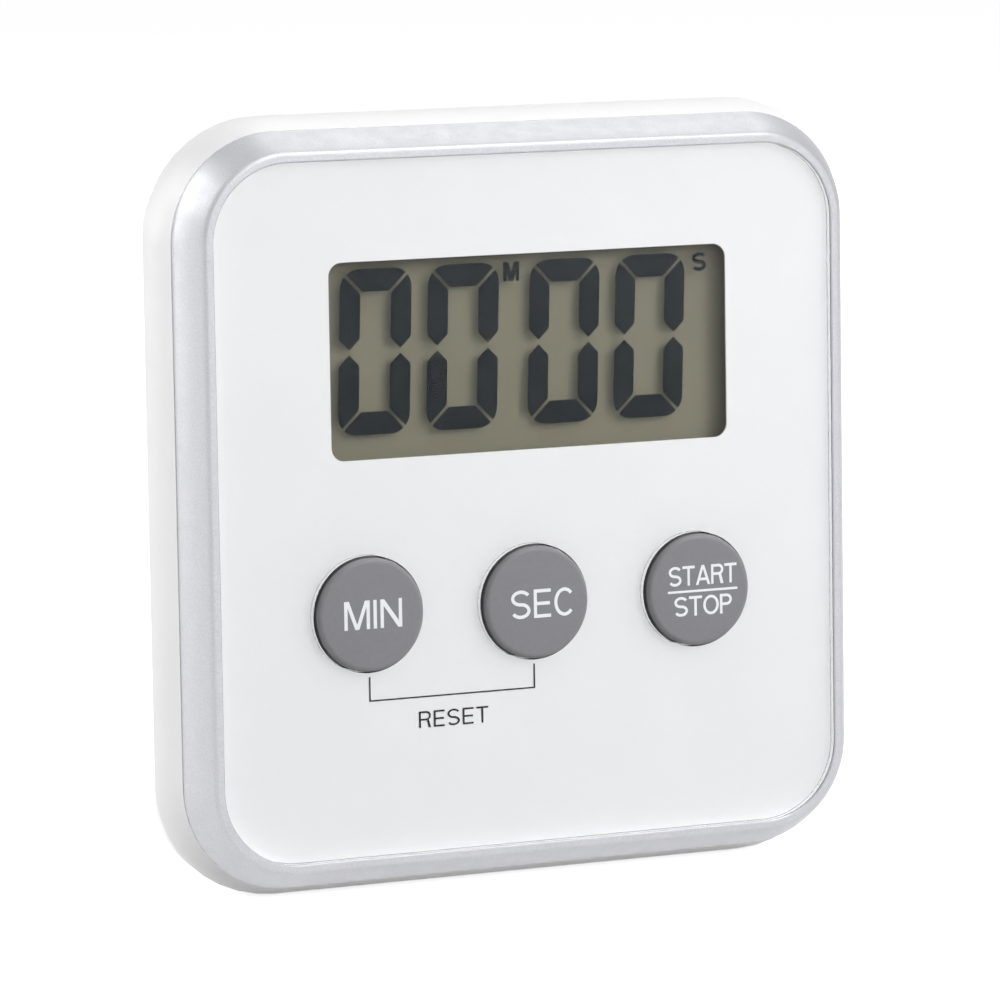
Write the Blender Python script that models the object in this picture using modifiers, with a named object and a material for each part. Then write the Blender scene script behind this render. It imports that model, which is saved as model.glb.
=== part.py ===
"""Digital kitchen timer, modelled face up and stood on its lower edge by one empty.

Local X runs across the face, Y up the face and Z out of it, with the origin in the middle of the
front plate's outer surface. A depth is counted from that surface towards the back.
"""

import math

import bmesh
import bpy
from mathutils import Matrix, Vector

mm = 0.001

# Clearances and shared values
seat_gap = 0.2 * mm
layer_gap = 0.1 * mm
overrun = 1.0 * mm
weld_distance = 0.001 * mm
corner_segments = 10
round_steps = 32
small_round_steps = 16
screw_steps = 12
smooth_angle = math.radians(32)
tie_share = 0.001

# Clear front plate and the white layer behind it
lens_width = 68.54 * mm
lens_height = 71.00 * mm
lens_corner = 8.0 * mm
lens_thick = 1.2 * mm
lens_chamfer = 0.15 * mm
lens_fit = 0.12 * mm
mask_thick = 0.2 * mm

# Display window in the white layer
window_width = 44.24 * mm
window_height = 20.11 * mm
window_corner = 1.43 * mm
window_x = 0.42 * mm
window_y = 15.16 * mm
window_corner_segments = 6

# Silver bezel ring
land_width = 0.85 * mm
bezel_stand = 0.2 * mm
bezel_slope_width = 2.06 * mm
bezel_slope_drop = 4.05 * mm
bezel_bulge = 0.15 * mm
bezel_slope_steps = 6
bezel_foot_width = 1.35 * mm
bezel_edge_round = 0.18 * mm

# Front housing
front_wall = 1.5 * mm
shell_flare = 1.33 * mm
shell_flare_steps = 4
seam_depth = 8.6 * mm
side_wall = 1.6 * mm
cavity_step_depth = 4.9 * mm
cavity_step_drop = 0.7 * mm

# Back cover
back_wall = 1.8 * mm
back_taper = math.radians(21)
back_edge_round = 2.5 * mm
back_edge_steps = 4
back_inner_round = 0.7 * mm
lip_reach = 1.5 * mm
lip_root_start = 1.2 * mm
lip_root_end = 1.6 * mm
lip_bite = 0.5 * mm
lip_wall = 1.2 * mm

# Keys
key_spacing = 18.35 * mm
key_y = -10.50 * mm
key_radius = 5.83 * mm
key_hole_gap = 0.17 * mm
key_stand = 0.85 * mm
key_edge_round = 0.6 * mm
key_edge_steps = 4
key_skin = 1.3 * mm
key_wall = 1.0 * mm
key_flange_reach = 0.9 * mm
key_flange_thick = 0.8 * mm
key_stem_radius = 2.1 * mm
key_stem_end = 1.0 * mm
key_tab_width = 2.0 * mm
key_tab_reach = 0.85 * mm
key_ring_wall = 1.0 * mm
key_ring_height = 2.6 * mm
key_slot_gap = 0.3 * mm

# Rubber domes under the keys
dome_base_radius = 4.4 * mm
dome_foot = 0.6 * mm
dome_shoulder_radius = 3.5 * mm
dome_top_radius = 2.5 * mm
dome_wall = 0.5 * mm
dome_height = 2.0 * mm

# Display stack
lcd_width = 48.0 * mm
lcd_height = 24.5 * mm
lcd_ledge = 2.6 * mm
lcd_corner = 0.4 * mm
glass_thick = 0.7 * mm
reflector_thick = 0.15 * mm
reflector_inset = 0.5 * mm
holder_rim = 1.2 * mm
holder_plate = 1.1 * mm
holder_corner = 1.5 * mm
holder_ear_reach = 4.2 * mm
holder_bottom_margin = 1.4 * mm
holder_rib = 1.2 * mm
holder_pin_radius = 1.0 * mm
holder_pin_x = 17.0 * mm
holder_pin_inset = 1.9 * mm
holder_pin_stand = 0.8 * mm
zebra_inset = 2.0 * mm
zebra_width = 1.8 * mm

# Circuit board
board_top = 5.2 * mm
board_bottom = -20.6 * mm
board_corner = 2.0 * mm
board_thick = 1.0 * mm
board_post_gap = 1.1 * mm
board_screw_inset = 2.8 * mm
board_side_inset = 2.6 * mm
board_post_radius = 1.9 * mm
board_screw_radius = 0.8 * mm
board_screw_head_radius = 1.6 * mm
board_screw_head = 0.9 * mm
board_screw_length = 4.6 * mm

# Parts on the board
blob_x, blob_y = -11.0 * mm, -8.0 * mm
blob_radius = 4.6 * mm
blob_height = 1.3 * mm
crystal_x, crystal_y = -2.0 * mm, -14.5 * mm
crystal_radius = 1.0 * mm
crystal_length = 6.0 * mm
coil_x, coil_y = 14.0 * mm, -12.0 * mm
coil_radius = 3.0 * mm
coil_waist = 2.1 * mm
coil_height = 5.0 * mm
coil_cheek = 0.7 * mm
capacitor_x, capacitor_y = 6.0 * mm, -5.0 * mm
capacitor_pitch = 4.0 * mm
capacitor_width = 2.0 * mm
capacitor_depth = 1.2 * mm
capacitor_height = 1.1 * mm

# Case screws and the bosses they join
screw_x = 29.0 * mm
screw_y = 30.2 * mm
screw_radius = 0.9 * mm
screw_head_radius = 1.9 * mm
screw_head = 1.4 * mm
screw_length = 6.6 * mm
screw_recess_radius = 0.9 * mm
screw_recess_depth = 0.8 * mm
screw_fit = 0.2 * mm
boss_radius = 2.6 * mm
boss_floor = 1.2 * mm
well_radius = 2.4 * mm
well_wall = 1.0 * mm

# AAA cell and its bay
cell_radius = 5.25 * mm
cell_length = 44.5 * mm
cell_nub_radius = 1.9 * mm
cell_nub = 1.2 * mm
cell_edge = 0.5 * mm
bay_y = 12.5 * mm
bay_play = 0.25 * mm
bay_wall = 1.2 * mm
bay_floor = 1.0 * mm
bay_clearance = 1.75 * mm
contact_thick = 0.3 * mm
contact_width = 8.0 * mm
contact_corner = 1.0 * mm
spring_wire = 0.5 * mm
spring_length = 3.5 * mm
spring_turns = 3.0
spring_wide = 3.6 * mm
spring_narrow = 2.0 * mm
spring_points_per_turn = 14

# Battery door, a strip that slides off past the right side
door_half_height = 6.0 * mm
door_tongue = 1.0 * mm
door_tongue_thick = 0.8 * mm
door_left_lap = 0.8 * mm
door_leg = 6.0 * mm
door_leg_backing = 1.4 * mm
door_gap = 0.2 * mm
door_rib_count = 5
door_rib_pitch = 1.9 * mm
door_rib_width = 0.8 * mm
door_rib_depth = 0.35 * mm
door_rib_length = 9.0 * mm
door_rib_x = 27.0 * mm
rail_wall = 1.4 * mm
rail_thick = 2.0 * mm

# Fold-out stand
stand_hinge_y = -1.0 * mm
stand_width = 30.0 * mm
stand_reach = 33.2 * mm
stand_heel = 0.75 * mm
stand_thick = 2.0 * mm
stand_sink = 0.1 * mm
stand_edge = 0.25 * mm
stand_side_gap = 0.4 * mm
stand_end_gap = 0.4 * mm
stand_head_room = 1.5 * mm
stand_floor_gap = 0.3 * mm
stand_pin_radius = 0.8 * mm
stand_pin_reach = 1.3 * mm
stand_pin_fit = 0.1 * mm
stand_pin_end_gap = 0.3 * mm
stand_rim = 1.6 * mm
stand_pocket = 0.9 * mm
stand_rib = 1.2 * mm
stand_block_wall = 2.1 * mm
stand_floor = 1.5 * mm
notch_width = 14.0 * mm
notch_depth = 1.8 * mm
notch_corner = 2.0 * mm

# Magnets
magnet_side_wall = 1.6 * mm
magnet_edge_margin = 0.35 * mm
magnet_y = -18.0 * mm
magnet_thick = 3.0 * mm
magnet_sink = 0.1 * mm
magnet_cup_wall = 1.2 * mm
magnet_cup_floor = 1.4 * mm
magnet_edge = 0.2 * mm

# Buzzer
buzzer_y = 28.4 * mm
buzzer_radius = 6.0 * mm
buzzer_thick = 0.5 * mm
buzzer_stand = 0.8 * mm
buzzer_ring_wall = 1.0 * mm
buzzer_ring_lip = 0.5 * mm
sound_hole_radius = 0.75 * mm
sound_hole_circle = 2.9 * mm
sound_hole_count = 6

# Wires inside the case: pads along the board's upper edge, and the ways round the battery bay
wire_radius = 0.4 * mm
wire_bend_steps = 3
pad_inset = 2.6 * mm
wire_rise = 1.6 * mm
battery_pad_gap = 2.8 * mm
side_wire_gap = 1.6 * mm
battery_wire_drop = 2.6 * mm
wire_slot = 1.6 * mm
buzzer_pad_gap = 4.0 * mm
buzzer_pad_pitch = 2.2 * mm
buzzer_wire_rise = 3.4 * mm
buzzer_wire_turn_y = 22.5 * mm
buzzer_joint_x = -2.0 * mm
buzzer_joint_pitch = 3.2 * mm
buzzer_wire_end_rise = 3.0 * mm

# Depths that follow from the sizes above
mask_front = lens_thick + layer_gap
wall_front = mask_front + mask_thick + layer_gap
wall_back = wall_front + front_wall
glass_back = wall_front + glass_thick
rear_glass_front = glass_back + layer_gap
rear_glass_back = rear_glass_front + glass_thick
reflector_front = rear_glass_back + layer_gap
reflector_back = reflector_front + reflector_thick
holder_front = wall_back + seat_gap
holder_floor = reflector_back + seat_gap
holder_back = holder_floor + holder_plate
flange_front = wall_back + seat_gap
flange_back = flange_front + key_flange_thick
stem_back = flange_back + key_stem_end
dome_front = stem_back + seat_gap
board_front = dome_front + dome_height + seat_gap
board_back = board_front + board_thick
bezel_foot = bezel_slope_drop - bezel_stand
shelf_depth = bezel_foot + seat_gap
bezel_seat = wall_front - seat_gap
bay_floor_depth = holder_back + bay_clearance
cell_depth = bay_floor_depth + bay_floor + bay_play + cell_radius
back_inside = cell_depth + cell_radius + bay_play - seat_gap
case_depth = back_inside + back_wall

# Outline offsets, counted outwards from the front plate's edge
crest_offset = lens_fit + land_width
bezel_offset = crest_offset + bezel_slope_width
shell_offset = bezel_offset + shell_flare
platform_offset = bezel_offset - bezel_foot_width - seat_gap
cavity_offset = shell_offset - side_wall
lip_outside = cavity_offset - seat_gap

# Positions that follow
case_half_height = lens_height / 2 + shell_offset
case_half_width = lens_width / 2 + shell_offset
lcd_top = window_y + lcd_height / 2
lcd_bottom = window_y - lcd_height / 2
ledge_bottom = lcd_bottom - lcd_ledge
bay_gaps = 5 * seat_gap
bay_half_length = (cell_length + spring_length + bay_gaps) / 2 + contact_thick
bay_half_height = cell_radius + bay_play
holder_half_width = lcd_width / 2 + seat_gap + holder_rim
zebra_length = lcd_width - 2 * zebra_inset
board_screw_x = holder_half_width + board_post_gap + board_post_radius
board_width = 2 * (board_screw_x + board_side_inset)
back_flat_half_width = case_half_width - math.tan(back_taper) * (case_depth - seam_depth) - back_edge_round
magnet_seat_start = stand_width / 2 + stand_side_gap + magnet_side_wall
magnet_radius = (back_flat_half_width - magnet_edge_margin - magnet_seat_start) / 2 - seat_gap
magnet_x = magnet_seat_start + seat_gap + magnet_radius
side_wire_x = bay_half_length + bay_wall + side_wire_gap
battery_pad_x = board_screw_x - board_screw_head_radius - battery_pad_gap
buzzer_pad_x = buzzer_pad_gap - battery_pad_x
key_positions = {"min": -key_spacing, "sec": 0.0, "start_stop": key_spacing}


def clear_scene():
    for obj in list(bpy.data.objects):
        bpy.data.objects.remove(obj, do_unlink=True)


def make_collection(name):
    collection = bpy.data.collections.new(name)
    bpy.context.scene.collection.children.link(collection)
    return collection


def make_material(name, colour, roughness, metallic=0.0):
    material = bpy.data.materials.new(name)
    material.use_nodes = True
    shader = material.node_tree.nodes["Principled BSDF"]
    shader.inputs["Base Color"].default_value = (*colour, 1.0)
    shader.inputs["Roughness"].default_value = roughness
    shader.inputs["Metallic"].default_value = metallic
    return material


def link_mesh(name, mesh, collection):
    obj = bpy.data.objects.new(name, mesh)
    collection.objects.link(obj)
    return obj


def finish_mesh(name, bm, collection):
    """Closes the bmesh work: faces turned outwards, mesh and object made."""
    bmesh.ops.recalc_face_normals(bm, faces=bm.faces)
    mesh = bpy.data.meshes.new(name)
    bm.to_mesh(mesh)
    bm.free()
    return link_mesh(name, mesh, collection)


def rounded_face(bm, width, height, corner, segments, x=0.0, y=0.0, depth=0.0):
    """A flat rounded rectangle, made from a square with its corners bevelled."""
    made = bmesh.ops.create_grid(bm, x_segments=1, y_segments=1, size=0.5)
    bmesh.ops.scale(bm, vec=(width, height, 1.0), verts=made["verts"])
    bmesh.ops.translate(bm, vec=(x, y, -depth), verts=made["verts"])
    if corner <= 0:
        return made["verts"][0].link_faces[0]
    bevelled = bmesh.ops.bevel(
        bm, geom=made["verts"], offset=corner, segments=segments, profile=0.5, affect="VERTICES"
    )
    return bevelled["verts"][0].link_faces[0]


def ordered_corners(face):
    """A face's vertices, counted round from the upper end of its right side."""
    loop = list(face.verts)
    start = max(range(len(loop)), key=lambda i: loop[i].co.x + tie_share * loop[i].co.y)
    return loop[start:] + loop[:start]


def bridge(bm, first, second):
    """Four-sided faces between two loops that have the same number of vertices."""
    for i in range(len(first)):
        bm.faces.new((first[i - 1], first[i], second[i], second[i - 1]))


def loft(name, collection, faces_from, closed=False):
    """Joins rounded rectangles one after another. Closed, the last meets the first as a ring."""
    bm = bmesh.new()
    faces = [rounded_face(bm, **section) for section in faces_from]
    loops = [ordered_corners(face) for face in faces]
    inner = faces if closed else faces[1:-1]
    bmesh.ops.delete(bm, geom=inner, context="FACES_ONLY")
    for first, second in zip(loops, loops[1:]):
        bridge(bm, first, second)
    if closed:
        bridge(bm, loops[-1], loops[0])
    return finish_mesh(name, bm, collection)


def outline(offset, depth):
    """The front plate's outline grown by an offset, at a depth."""
    return dict(
        width=lens_width + 2 * offset, height=lens_height + 2 * offset, corner=lens_corner + offset,
        segments=corner_segments, depth=depth,
    )


def block(name, collection, x, y, width, height, front, back, corner=0.0):
    """A plate or bar with upright sides, between two depths."""
    section = dict(width=width, height=height, corner=corner, segments=window_corner_segments, x=x, y=y)
    return loft(name, collection, [dict(section, depth=front), dict(section, depth=back)])


def cylinder(name, collection, x, y, radius, front, back, steps=small_round_steps, back_radius=None):
    bm = bmesh.new()
    bmesh.ops.create_cone(
        bm, cap_ends=True, segments=steps, radius1=radius if back_radius is None else back_radius,
        radius2=radius, depth=back - front, matrix=Matrix.Translation((x, y, -(front + back) / 2)),
    )
    return finish_mesh(name, bm, collection)


def turned(name, collection, profile, steps=round_steps):
    """A profile of (radius, height) points, top to bottom on the outer side, turned about Z."""
    mesh = bpy.data.meshes.new(name)
    mesh.from_pydata([(r, 0.0, z) for r, z in profile], [(i, i + 1) for i in range(len(profile) - 1)], [])
    obj = link_mesh(name, mesh, collection)
    screw = obj.modifiers.new("Turn", "SCREW")
    screw.axis = "Z"
    screw.steps = steps
    screw.render_steps = steps
    screw.use_merge_vertices = True
    screw.merge_threshold = weld_distance
    return as_mesh(obj)


def as_mesh(obj):
    """Replaces a curve or a modified object by its evaluated mesh, with caps and seams welded."""
    name = obj.name
    collection = obj.users_collection[0]
    matrix = obj.matrix_world.copy()
    graph = bpy.context.evaluated_depsgraph_get()
    mesh = bpy.data.meshes.new_from_object(obj.evaluated_get(graph))
    bpy.data.objects.remove(obj, do_unlink=True)
    bm = bmesh.new()
    bm.from_mesh(mesh)
    bmesh.ops.remove_doubles(bm, verts=bm.verts, dist=weld_distance)
    bmesh.ops.recalc_face_normals(bm, faces=bm.faces)
    bm.to_mesh(mesh)
    bm.free()
    mesh.name = name
    made = link_mesh(name, mesh, collection)
    made.matrix_world = matrix
    return made


def combine(target, others, operation):
    for other in others:
        modifier = target.modifiers.new(f"{operation.title()} {other.name}", "BOOLEAN")
        modifier.operation = operation
        modifier.solver = "EXACT"
        modifier.object = other
        other.hide_render = True
        other.display_type = "WIRE"


def cut(target, *cutters):
    combine(target, cutters, "DIFFERENCE")


def join(target, *additions):
    combine(target, additions, "UNION")


def keep_common(target, *others):
    combine(target, others, "INTERSECT")


def shade_round(obj):
    """Smooth shading with hard edges kept, for a mesh without modifiers."""
    obj.data.shade_smooth()
    obj.data.set_sharp_from_angle(angle=smooth_angle)
    return obj


def arc_share(step, steps):
    """Sine and one minus cosine of an even step along a quarter turn."""
    angle = math.pi / 2 * step / steps
    return math.sin(angle), 1 - math.cos(angle)


def front_lens(parts, tools):
    lens = loft(
        "front_lens", parts,
        [outline(-lens_chamfer, 0.0), outline(0.0, lens_chamfer), outline(0.0, lens_thick)],
    )
    for label, x in key_positions.items():
        hole_radius = key_radius + key_hole_gap
        hole = cylinder(
            f"lens_hole_{label}", tools, x, key_y, hole_radius, -overrun, lens_thick + overrun,
            round_steps,
        )
        cut(lens, hole)
    return lens


def window_mask(parts, tools):
    mask = loft("window_mask", parts, [outline(0.0, mask_front), outline(0.0, mask_front + mask_thick)])
    window = block(
        "mask_window", tools, window_x, window_y, window_width, window_height, mask_front - overrun,
        wall_front + overrun, window_corner,
    )
    cut(mask, window)
    for label, x in key_positions.items():
        hole_radius = key_radius + key_hole_gap
        hole = cylinder(
            f"mask_hole_{label}", tools, x, key_y, hole_radius, mask_front - overrun,
            wall_front + overrun, round_steps,
        )
        cut(mask, hole)
    return mask


def bezel_ring(parts):
    """A closed profile carried round the front plate: flat land, bulging slope and a foot."""
    profile = [outline(lens_fit, bezel_seat), outline(lens_fit, -bezel_stand)]
    crest = outline(crest_offset - bezel_edge_round, -bezel_stand)
    profile.append(crest)
    for step in range(bezel_slope_steps + 1):
        share = step / bezel_slope_steps
        bulge = bezel_bulge * math.sin(math.pi * share)
        lean = math.hypot(bezel_slope_width, bezel_slope_drop)
        start_drop = bezel_edge_round * (1 - share)
        offset = crest_offset + bezel_slope_width * share + bulge * bezel_slope_drop / lean
        depth = -bezel_stand + start_drop + bezel_slope_drop * share - bulge * bezel_slope_width / lean
        profile.append(outline(offset, depth))
    profile.append(outline(bezel_offset - bezel_foot_width, bezel_foot))
    profile.append(outline(platform_offset - layer_gap, bezel_seat))
    return shade_round(loft("bezel_ring", parts, profile, closed=True))


def housing_outer(name, collection):
    """Platform under the bezel, a shelf for its foot, and the flank that flares to the seam."""
    sections = [
        outline(platform_offset - seat_gap - layer_gap, wall_front),
        outline(platform_offset - seat_gap, shelf_depth),
        outline(bezel_offset, shelf_depth),
    ]
    for step in range(1, shell_flare_steps + 1):
        out_share = arc_share(step, shell_flare_steps)[0]
        depth = shelf_depth + (seam_depth - shelf_depth) * step / shell_flare_steps
        sections.append(outline(bezel_offset + shell_flare * out_share, depth))
    return loft(name, collection, sections)


def housing_cavity(tools):
    return loft(
        "housing_cavity",
        tools,
        [
            outline(-seat_gap, wall_back),
            outline(0.0, cavity_step_depth),
            outline(cavity_offset - seat_gap, cavity_step_depth + cavity_step_drop),
            outline(cavity_offset, seam_depth),
            outline(cavity_offset, seam_depth + overrun),
        ],
    )


def front_housing(parts, tools):
    housing = housing_outer("front_housing", parts)
    cut(housing, housing_cavity(tools))
    for label, x in key_positions.items():
        ring_inside = key_radius + key_flange_reach + key_slot_gap
        ring = cylinder(
            f"key_ring_{label}", tools, x, key_y, ring_inside + key_ring_wall, wall_back - overrun,
            wall_back + key_ring_height, round_steps,
        )
        bore = cylinder(
            f"key_ring_bore_{label}", tools, x, key_y, ring_inside, wall_back,
            wall_back + key_ring_height + overrun, round_steps,
        )
        keyway = block(
            f"keyway_{label}", tools, x, key_y + ring_inside + key_ring_wall / 2,
            key_tab_width + 2 * key_slot_gap, key_ring_wall * 2, wall_back,
            wall_back + key_ring_height + overrun,
        )
        hole = cylinder(
            f"housing_hole_{label}", tools, x, key_y, key_radius + key_hole_gap, wall_front - overrun,
            wall_back + overrun, round_steps,
        )
        join(housing, ring)
        cut(housing, bore, keyway, hole)
    add_housing_posts(housing, tools)
    aperture = block(
        "display_aperture", tools, 0.0, (lcd_top + ledge_bottom) / 2, lcd_width + 2 * seat_gap,
        lcd_top - ledge_bottom + 2 * seat_gap, wall_front - overrun, wall_back + overrun, lcd_corner,
    )
    cut(housing, aperture)
    return housing


def screw_places():
    return [(sx * screw_x, sy * screw_y) for sx in (-1, 1) for sy in (-1, 1)]


def board_screw_places():
    top, bottom = board_top - board_screw_inset, board_bottom + board_screw_inset
    return [(sx * board_screw_x, y) for sx in (-1, 1) for y in (bottom, top)]


def add_housing_posts(housing, tools):
    """Bosses for the case screws, posts for the board and pins for the display holder."""
    root = wall_back - front_wall / 2
    for number, (x, y) in enumerate(screw_places(), 1):
        boss_end = seam_depth - seat_gap
        join(housing, cylinder(f"boss_{number}", tools, x, y, boss_radius, root, boss_end))
        pilot = cylinder(
            f"boss_pilot_{number}", tools, x, y, screw_radius + screw_fit, wall_back, boss_end + overrun
        )
        cut(housing, pilot)
    for number, (x, y) in enumerate(board_screw_places(), 1):
        post_end = board_front - seat_gap
        join(housing, cylinder(f"post_{number}", tools, x, y, board_post_radius, root, post_end))
        pilot = cylinder(
            f"post_pilot_{number}", tools, x, y, board_screw_radius + screw_fit, wall_back, post_end + overrun
        )
        cut(housing, pilot)
    for side in (-1, 1):
        pin = cylinder(
            f"holder_pin_{side}", tools, side * holder_pin_x, lcd_top + holder_pin_inset,
            holder_pin_radius, root, holder_back + holder_pin_stand,
        )
        join(housing, pin)


def key_profile():
    """Half section of a key: crown with a rounded rim, hollow skirt, flange and centre stem."""
    rim_radius = key_radius - key_edge_round
    profile = [(0.0, key_stand)]
    for step in range(key_edge_steps + 1):
        out_share, drop_share = arc_share(step, key_edge_steps)
        profile.append((rim_radius + key_edge_round * out_share, key_stand - key_edge_round * drop_share))
    flange_radius = key_radius + key_flange_reach
    skirt_inside = key_radius - key_wall
    profile += [
        (key_radius, -flange_front),
        (flange_radius, -flange_front),
        (flange_radius, -flange_back),
        (skirt_inside, -flange_back),
        (skirt_inside, key_stand - key_skin),
        (key_stem_radius, key_stand - key_skin),
        (key_stem_radius, -stem_back),
        (0.0, -stem_back),
    ]
    return profile


def key_cap(label, x, parts, tools):
    key = shade_round(turned(f"key_{label}", parts, key_profile()))
    key.location = (x, key_y, 0.0)
    tab = block(
        f"key_tab_{label}", tools, x, key_y + key_radius + key_flange_reach - key_tab_reach / 2,
        key_tab_width, key_tab_reach * 3, flange_front, flange_back,
    )
    join(key, tab)
    return key


def rubber_dome(label, x, parts):
    """A dome that is open below: foot, cone and a flat top under the key's stem."""
    top = -dome_front
    bottom = top - dome_height
    profile = [
        (0.0, top),
        (dome_top_radius, top),
        (dome_shoulder_radius, bottom + dome_foot),
        (dome_base_radius, bottom + dome_foot),
        (dome_base_radius, bottom),
        (dome_shoulder_radius - dome_wall, bottom),
        (dome_top_radius - dome_wall, top - dome_wall),
        (0.0, top - dome_wall),
    ]
    dome = shade_round(turned(f"rubber_dome_{label}", parts, profile, small_round_steps))
    dome.location = (x, key_y, 0.0)
    return dome


def display_glass(parts):
    height = lcd_top - ledge_bottom
    front = block(
        "lcd_front_glass", parts, 0.0, (lcd_top + ledge_bottom) / 2, lcd_width, height, wall_front,
        glass_back, lcd_corner,
    )
    rear = block(
        "lcd_rear_glass", parts, 0.0, window_y, lcd_width, lcd_height, rear_glass_front,
        rear_glass_back, lcd_corner,
    )
    reflector = block(
        "lcd_reflector", parts, 0.0, window_y, lcd_width - 2 * reflector_inset,
        lcd_height - 2 * reflector_inset, reflector_front, reflector_back, lcd_corner,
    )
    return front, rear, reflector


def lcd_holder(parts, tools):
    """Frame that presses the display forward, with ears for two pins and a channel for the zebra strip."""
    top = lcd_top + seat_gap + holder_rim
    bottom = ledge_bottom - holder_bottom_margin
    holder = block(
        "lcd_holder", parts, 0.0, (top + bottom) / 2, 2 * holder_half_width, top - bottom, holder_front,
        holder_back, holder_corner,
    )
    ear_top = lcd_top + holder_ear_reach
    ear_root = top - holder_corner
    for side in (-1, 1):
        ear = block(
            f"holder_ear_{side}", tools, side * holder_pin_x, (ear_top + ear_root) / 2,
            2 * (holder_pin_radius + screw_fit + holder_rim), ear_top - ear_root, holder_front,
            holder_back, holder_corner,
        )
        join(holder, ear)
    channel_bottom = ledge_bottom - seat_gap
    channel_top = channel_bottom + zebra_width + 2 * seat_gap
    for side, edge in (("lower", channel_bottom - holder_rib / 2), ("upper", channel_top + holder_rib / 2)):
        rib = block(
            f"holder_rib_{side}", tools, 0.0, edge, zebra_length + 2 * holder_rib, holder_rib,
            holder_back - holder_plate / 2, board_front - seat_gap,
        )
        join(holder, rib)
    pocket = block(
        "holder_pocket", tools, 0.0, (lcd_top + seat_gap + channel_bottom) / 2,
        lcd_width + 2 * seat_gap, lcd_top + seat_gap - channel_bottom, holder_front - overrun,
        holder_floor, lcd_corner,
    )
    channel = block(
        "zebra_channel", tools, 0.0, (channel_top + channel_bottom) / 2, zebra_length + 2 * seat_gap,
        channel_top - channel_bottom, holder_floor - overrun / 2, board_front + overrun,
    )
    cut(holder, pocket, channel)
    for side in (-1, 1):
        hole = cylinder(
            f"holder_hole_{side}", tools, side * holder_pin_x, lcd_top + holder_pin_inset,
            holder_pin_radius + screw_fit, holder_front - overrun, holder_back + overrun,
        )
        cut(holder, hole)
    return holder


def zebra_strip(parts):
    channel_bottom = ledge_bottom - seat_gap
    y = channel_bottom + seat_gap + zebra_width / 2
    return block(
        "zebra_strip", parts, 0.0, y, zebra_length, zebra_width, glass_back + seat_gap, board_front - seat_gap
    )


def circuit_board(parts, tools):
    board = block(
        "circuit_board", parts, 0.0, (board_top + board_bottom) / 2, board_width,
        board_top - board_bottom, board_front, board_back, board_corner,
    )
    for number, (x, y) in enumerate(board_screw_places(), 1):
        hole = cylinder(
            f"board_hole_{number}", tools, x, y, board_screw_radius + screw_fit, board_front - overrun,
            board_back + overrun,
        )
        cut(board, hole)
    return board


def screw_profile(radius, head_radius, head, length, recess_radius, recess_depth):
    """Pan head with a drive recess, straight shank and a short point, head up at Z zero."""
    return [
        (0.0, -recess_depth),
        (recess_radius, -recess_depth),
        (recess_radius, 0.0),
        (head_radius - head / 3, 0.0),
        (head_radius, -head / 2),
        (head_radius, -head),
        (radius, -head),
        (radius, -head - length + radius),
        (0.0, -head - length),
    ]


def place_screws(parts, stem, places, seat, sizes):
    """Screws that are driven from the back, so each is turned over on its seat."""
    radius, head_radius, head, length, recess_radius, recess_depth = sizes
    for number, (x, y) in enumerate(places, 1):
        profile = screw_profile(radius, head_radius, head, length, recess_radius, recess_depth)
        screw = shade_round(turned(f"{stem}_{number}", parts, profile, screw_steps))
        screw.rotation_euler = (math.pi, 0.0, 0.0)
        screw.location = (x, y, -(seat + head))


def board_parts(parts):
    """What is soldered to the back of the board."""
    seat = -(board_back + seat_gap)
    blob = []
    for step in range(key_edge_steps + 1):
        out_share, drop_share = arc_share(step, key_edge_steps)
        blob.append((blob_radius * out_share, blob_height - blob_height * drop_share))
    blob.append((0.0, 0.0))
    chip = shade_round(turned("chip_blob", parts, blob, small_round_steps))
    coil = [
        (0.0, coil_height),
        (coil_radius, coil_height),
        (coil_radius, coil_height - coil_cheek),
        (coil_waist, coil_height - coil_cheek),
        (coil_waist, coil_cheek),
        (coil_radius, coil_cheek),
        (coil_radius, 0.0),
        (0.0, 0.0),
    ]
    winding = shade_round(turned("boost_coil", parts, coil, small_round_steps))
    for piece, x, y in ((chip, blob_x, blob_y), (winding, coil_x, coil_y)):
        piece.rotation_euler = (math.pi, 0.0, 0.0)
        piece.location = (x, y, seat)
    crystal = cylinder("quartz_crystal", parts, 0.0, 0.0, crystal_radius, 0.0, crystal_length)
    crystal.rotation_euler = (0.0, math.pi / 2, 0.0)
    crystal.location = (crystal_x + crystal_length / 2, crystal_y, seat - crystal_radius)
    shade_round(crystal)
    capacitors = []
    for number in (1, 2):
        x = capacitor_x + capacitor_pitch * (number - 1)
        top = board_back + seat_gap
        capacitors.append(
            block(
                f"capacitor_{number}", parts, x, capacitor_y, capacitor_width, capacitor_depth, top,
                top + capacitor_height,
            )
        )
    return chip, winding, crystal, capacitors


def taper_at(depth):
    """How far the cover's left, right and upper flanks have drawn in at a depth."""
    return math.tan(back_taper) * max(depth - seam_depth, 0.0)


def cover_outline(depth, wall=0.0):
    """The cover's outline at a depth. Its lower flank stays upright, because the timer stands on it."""
    inset = wall + taper_at(depth)
    return dict(
        width=2 * (case_half_width - inset), height=2 * case_half_height - inset - wall,
        corner=lens_corner + shell_offset - inset, segments=corner_segments, y=(wall - inset) / 2,
        depth=depth,
    )


def cover_outer(name, collection):
    """Tapered flanks from the seam, then a rounded back edge."""
    round_start = case_depth - back_edge_round
    sections = [cover_outline(seam_depth + seat_gap)]
    for step in range(back_edge_steps + 1):
        out_share, in_share = arc_share(step, back_edge_steps)
        section = cover_outline(round_start, back_edge_round * in_share)
        section["depth"] = round_start + back_edge_round * out_share
        sections.append(section)
    return loft(name, collection, sections)


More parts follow.
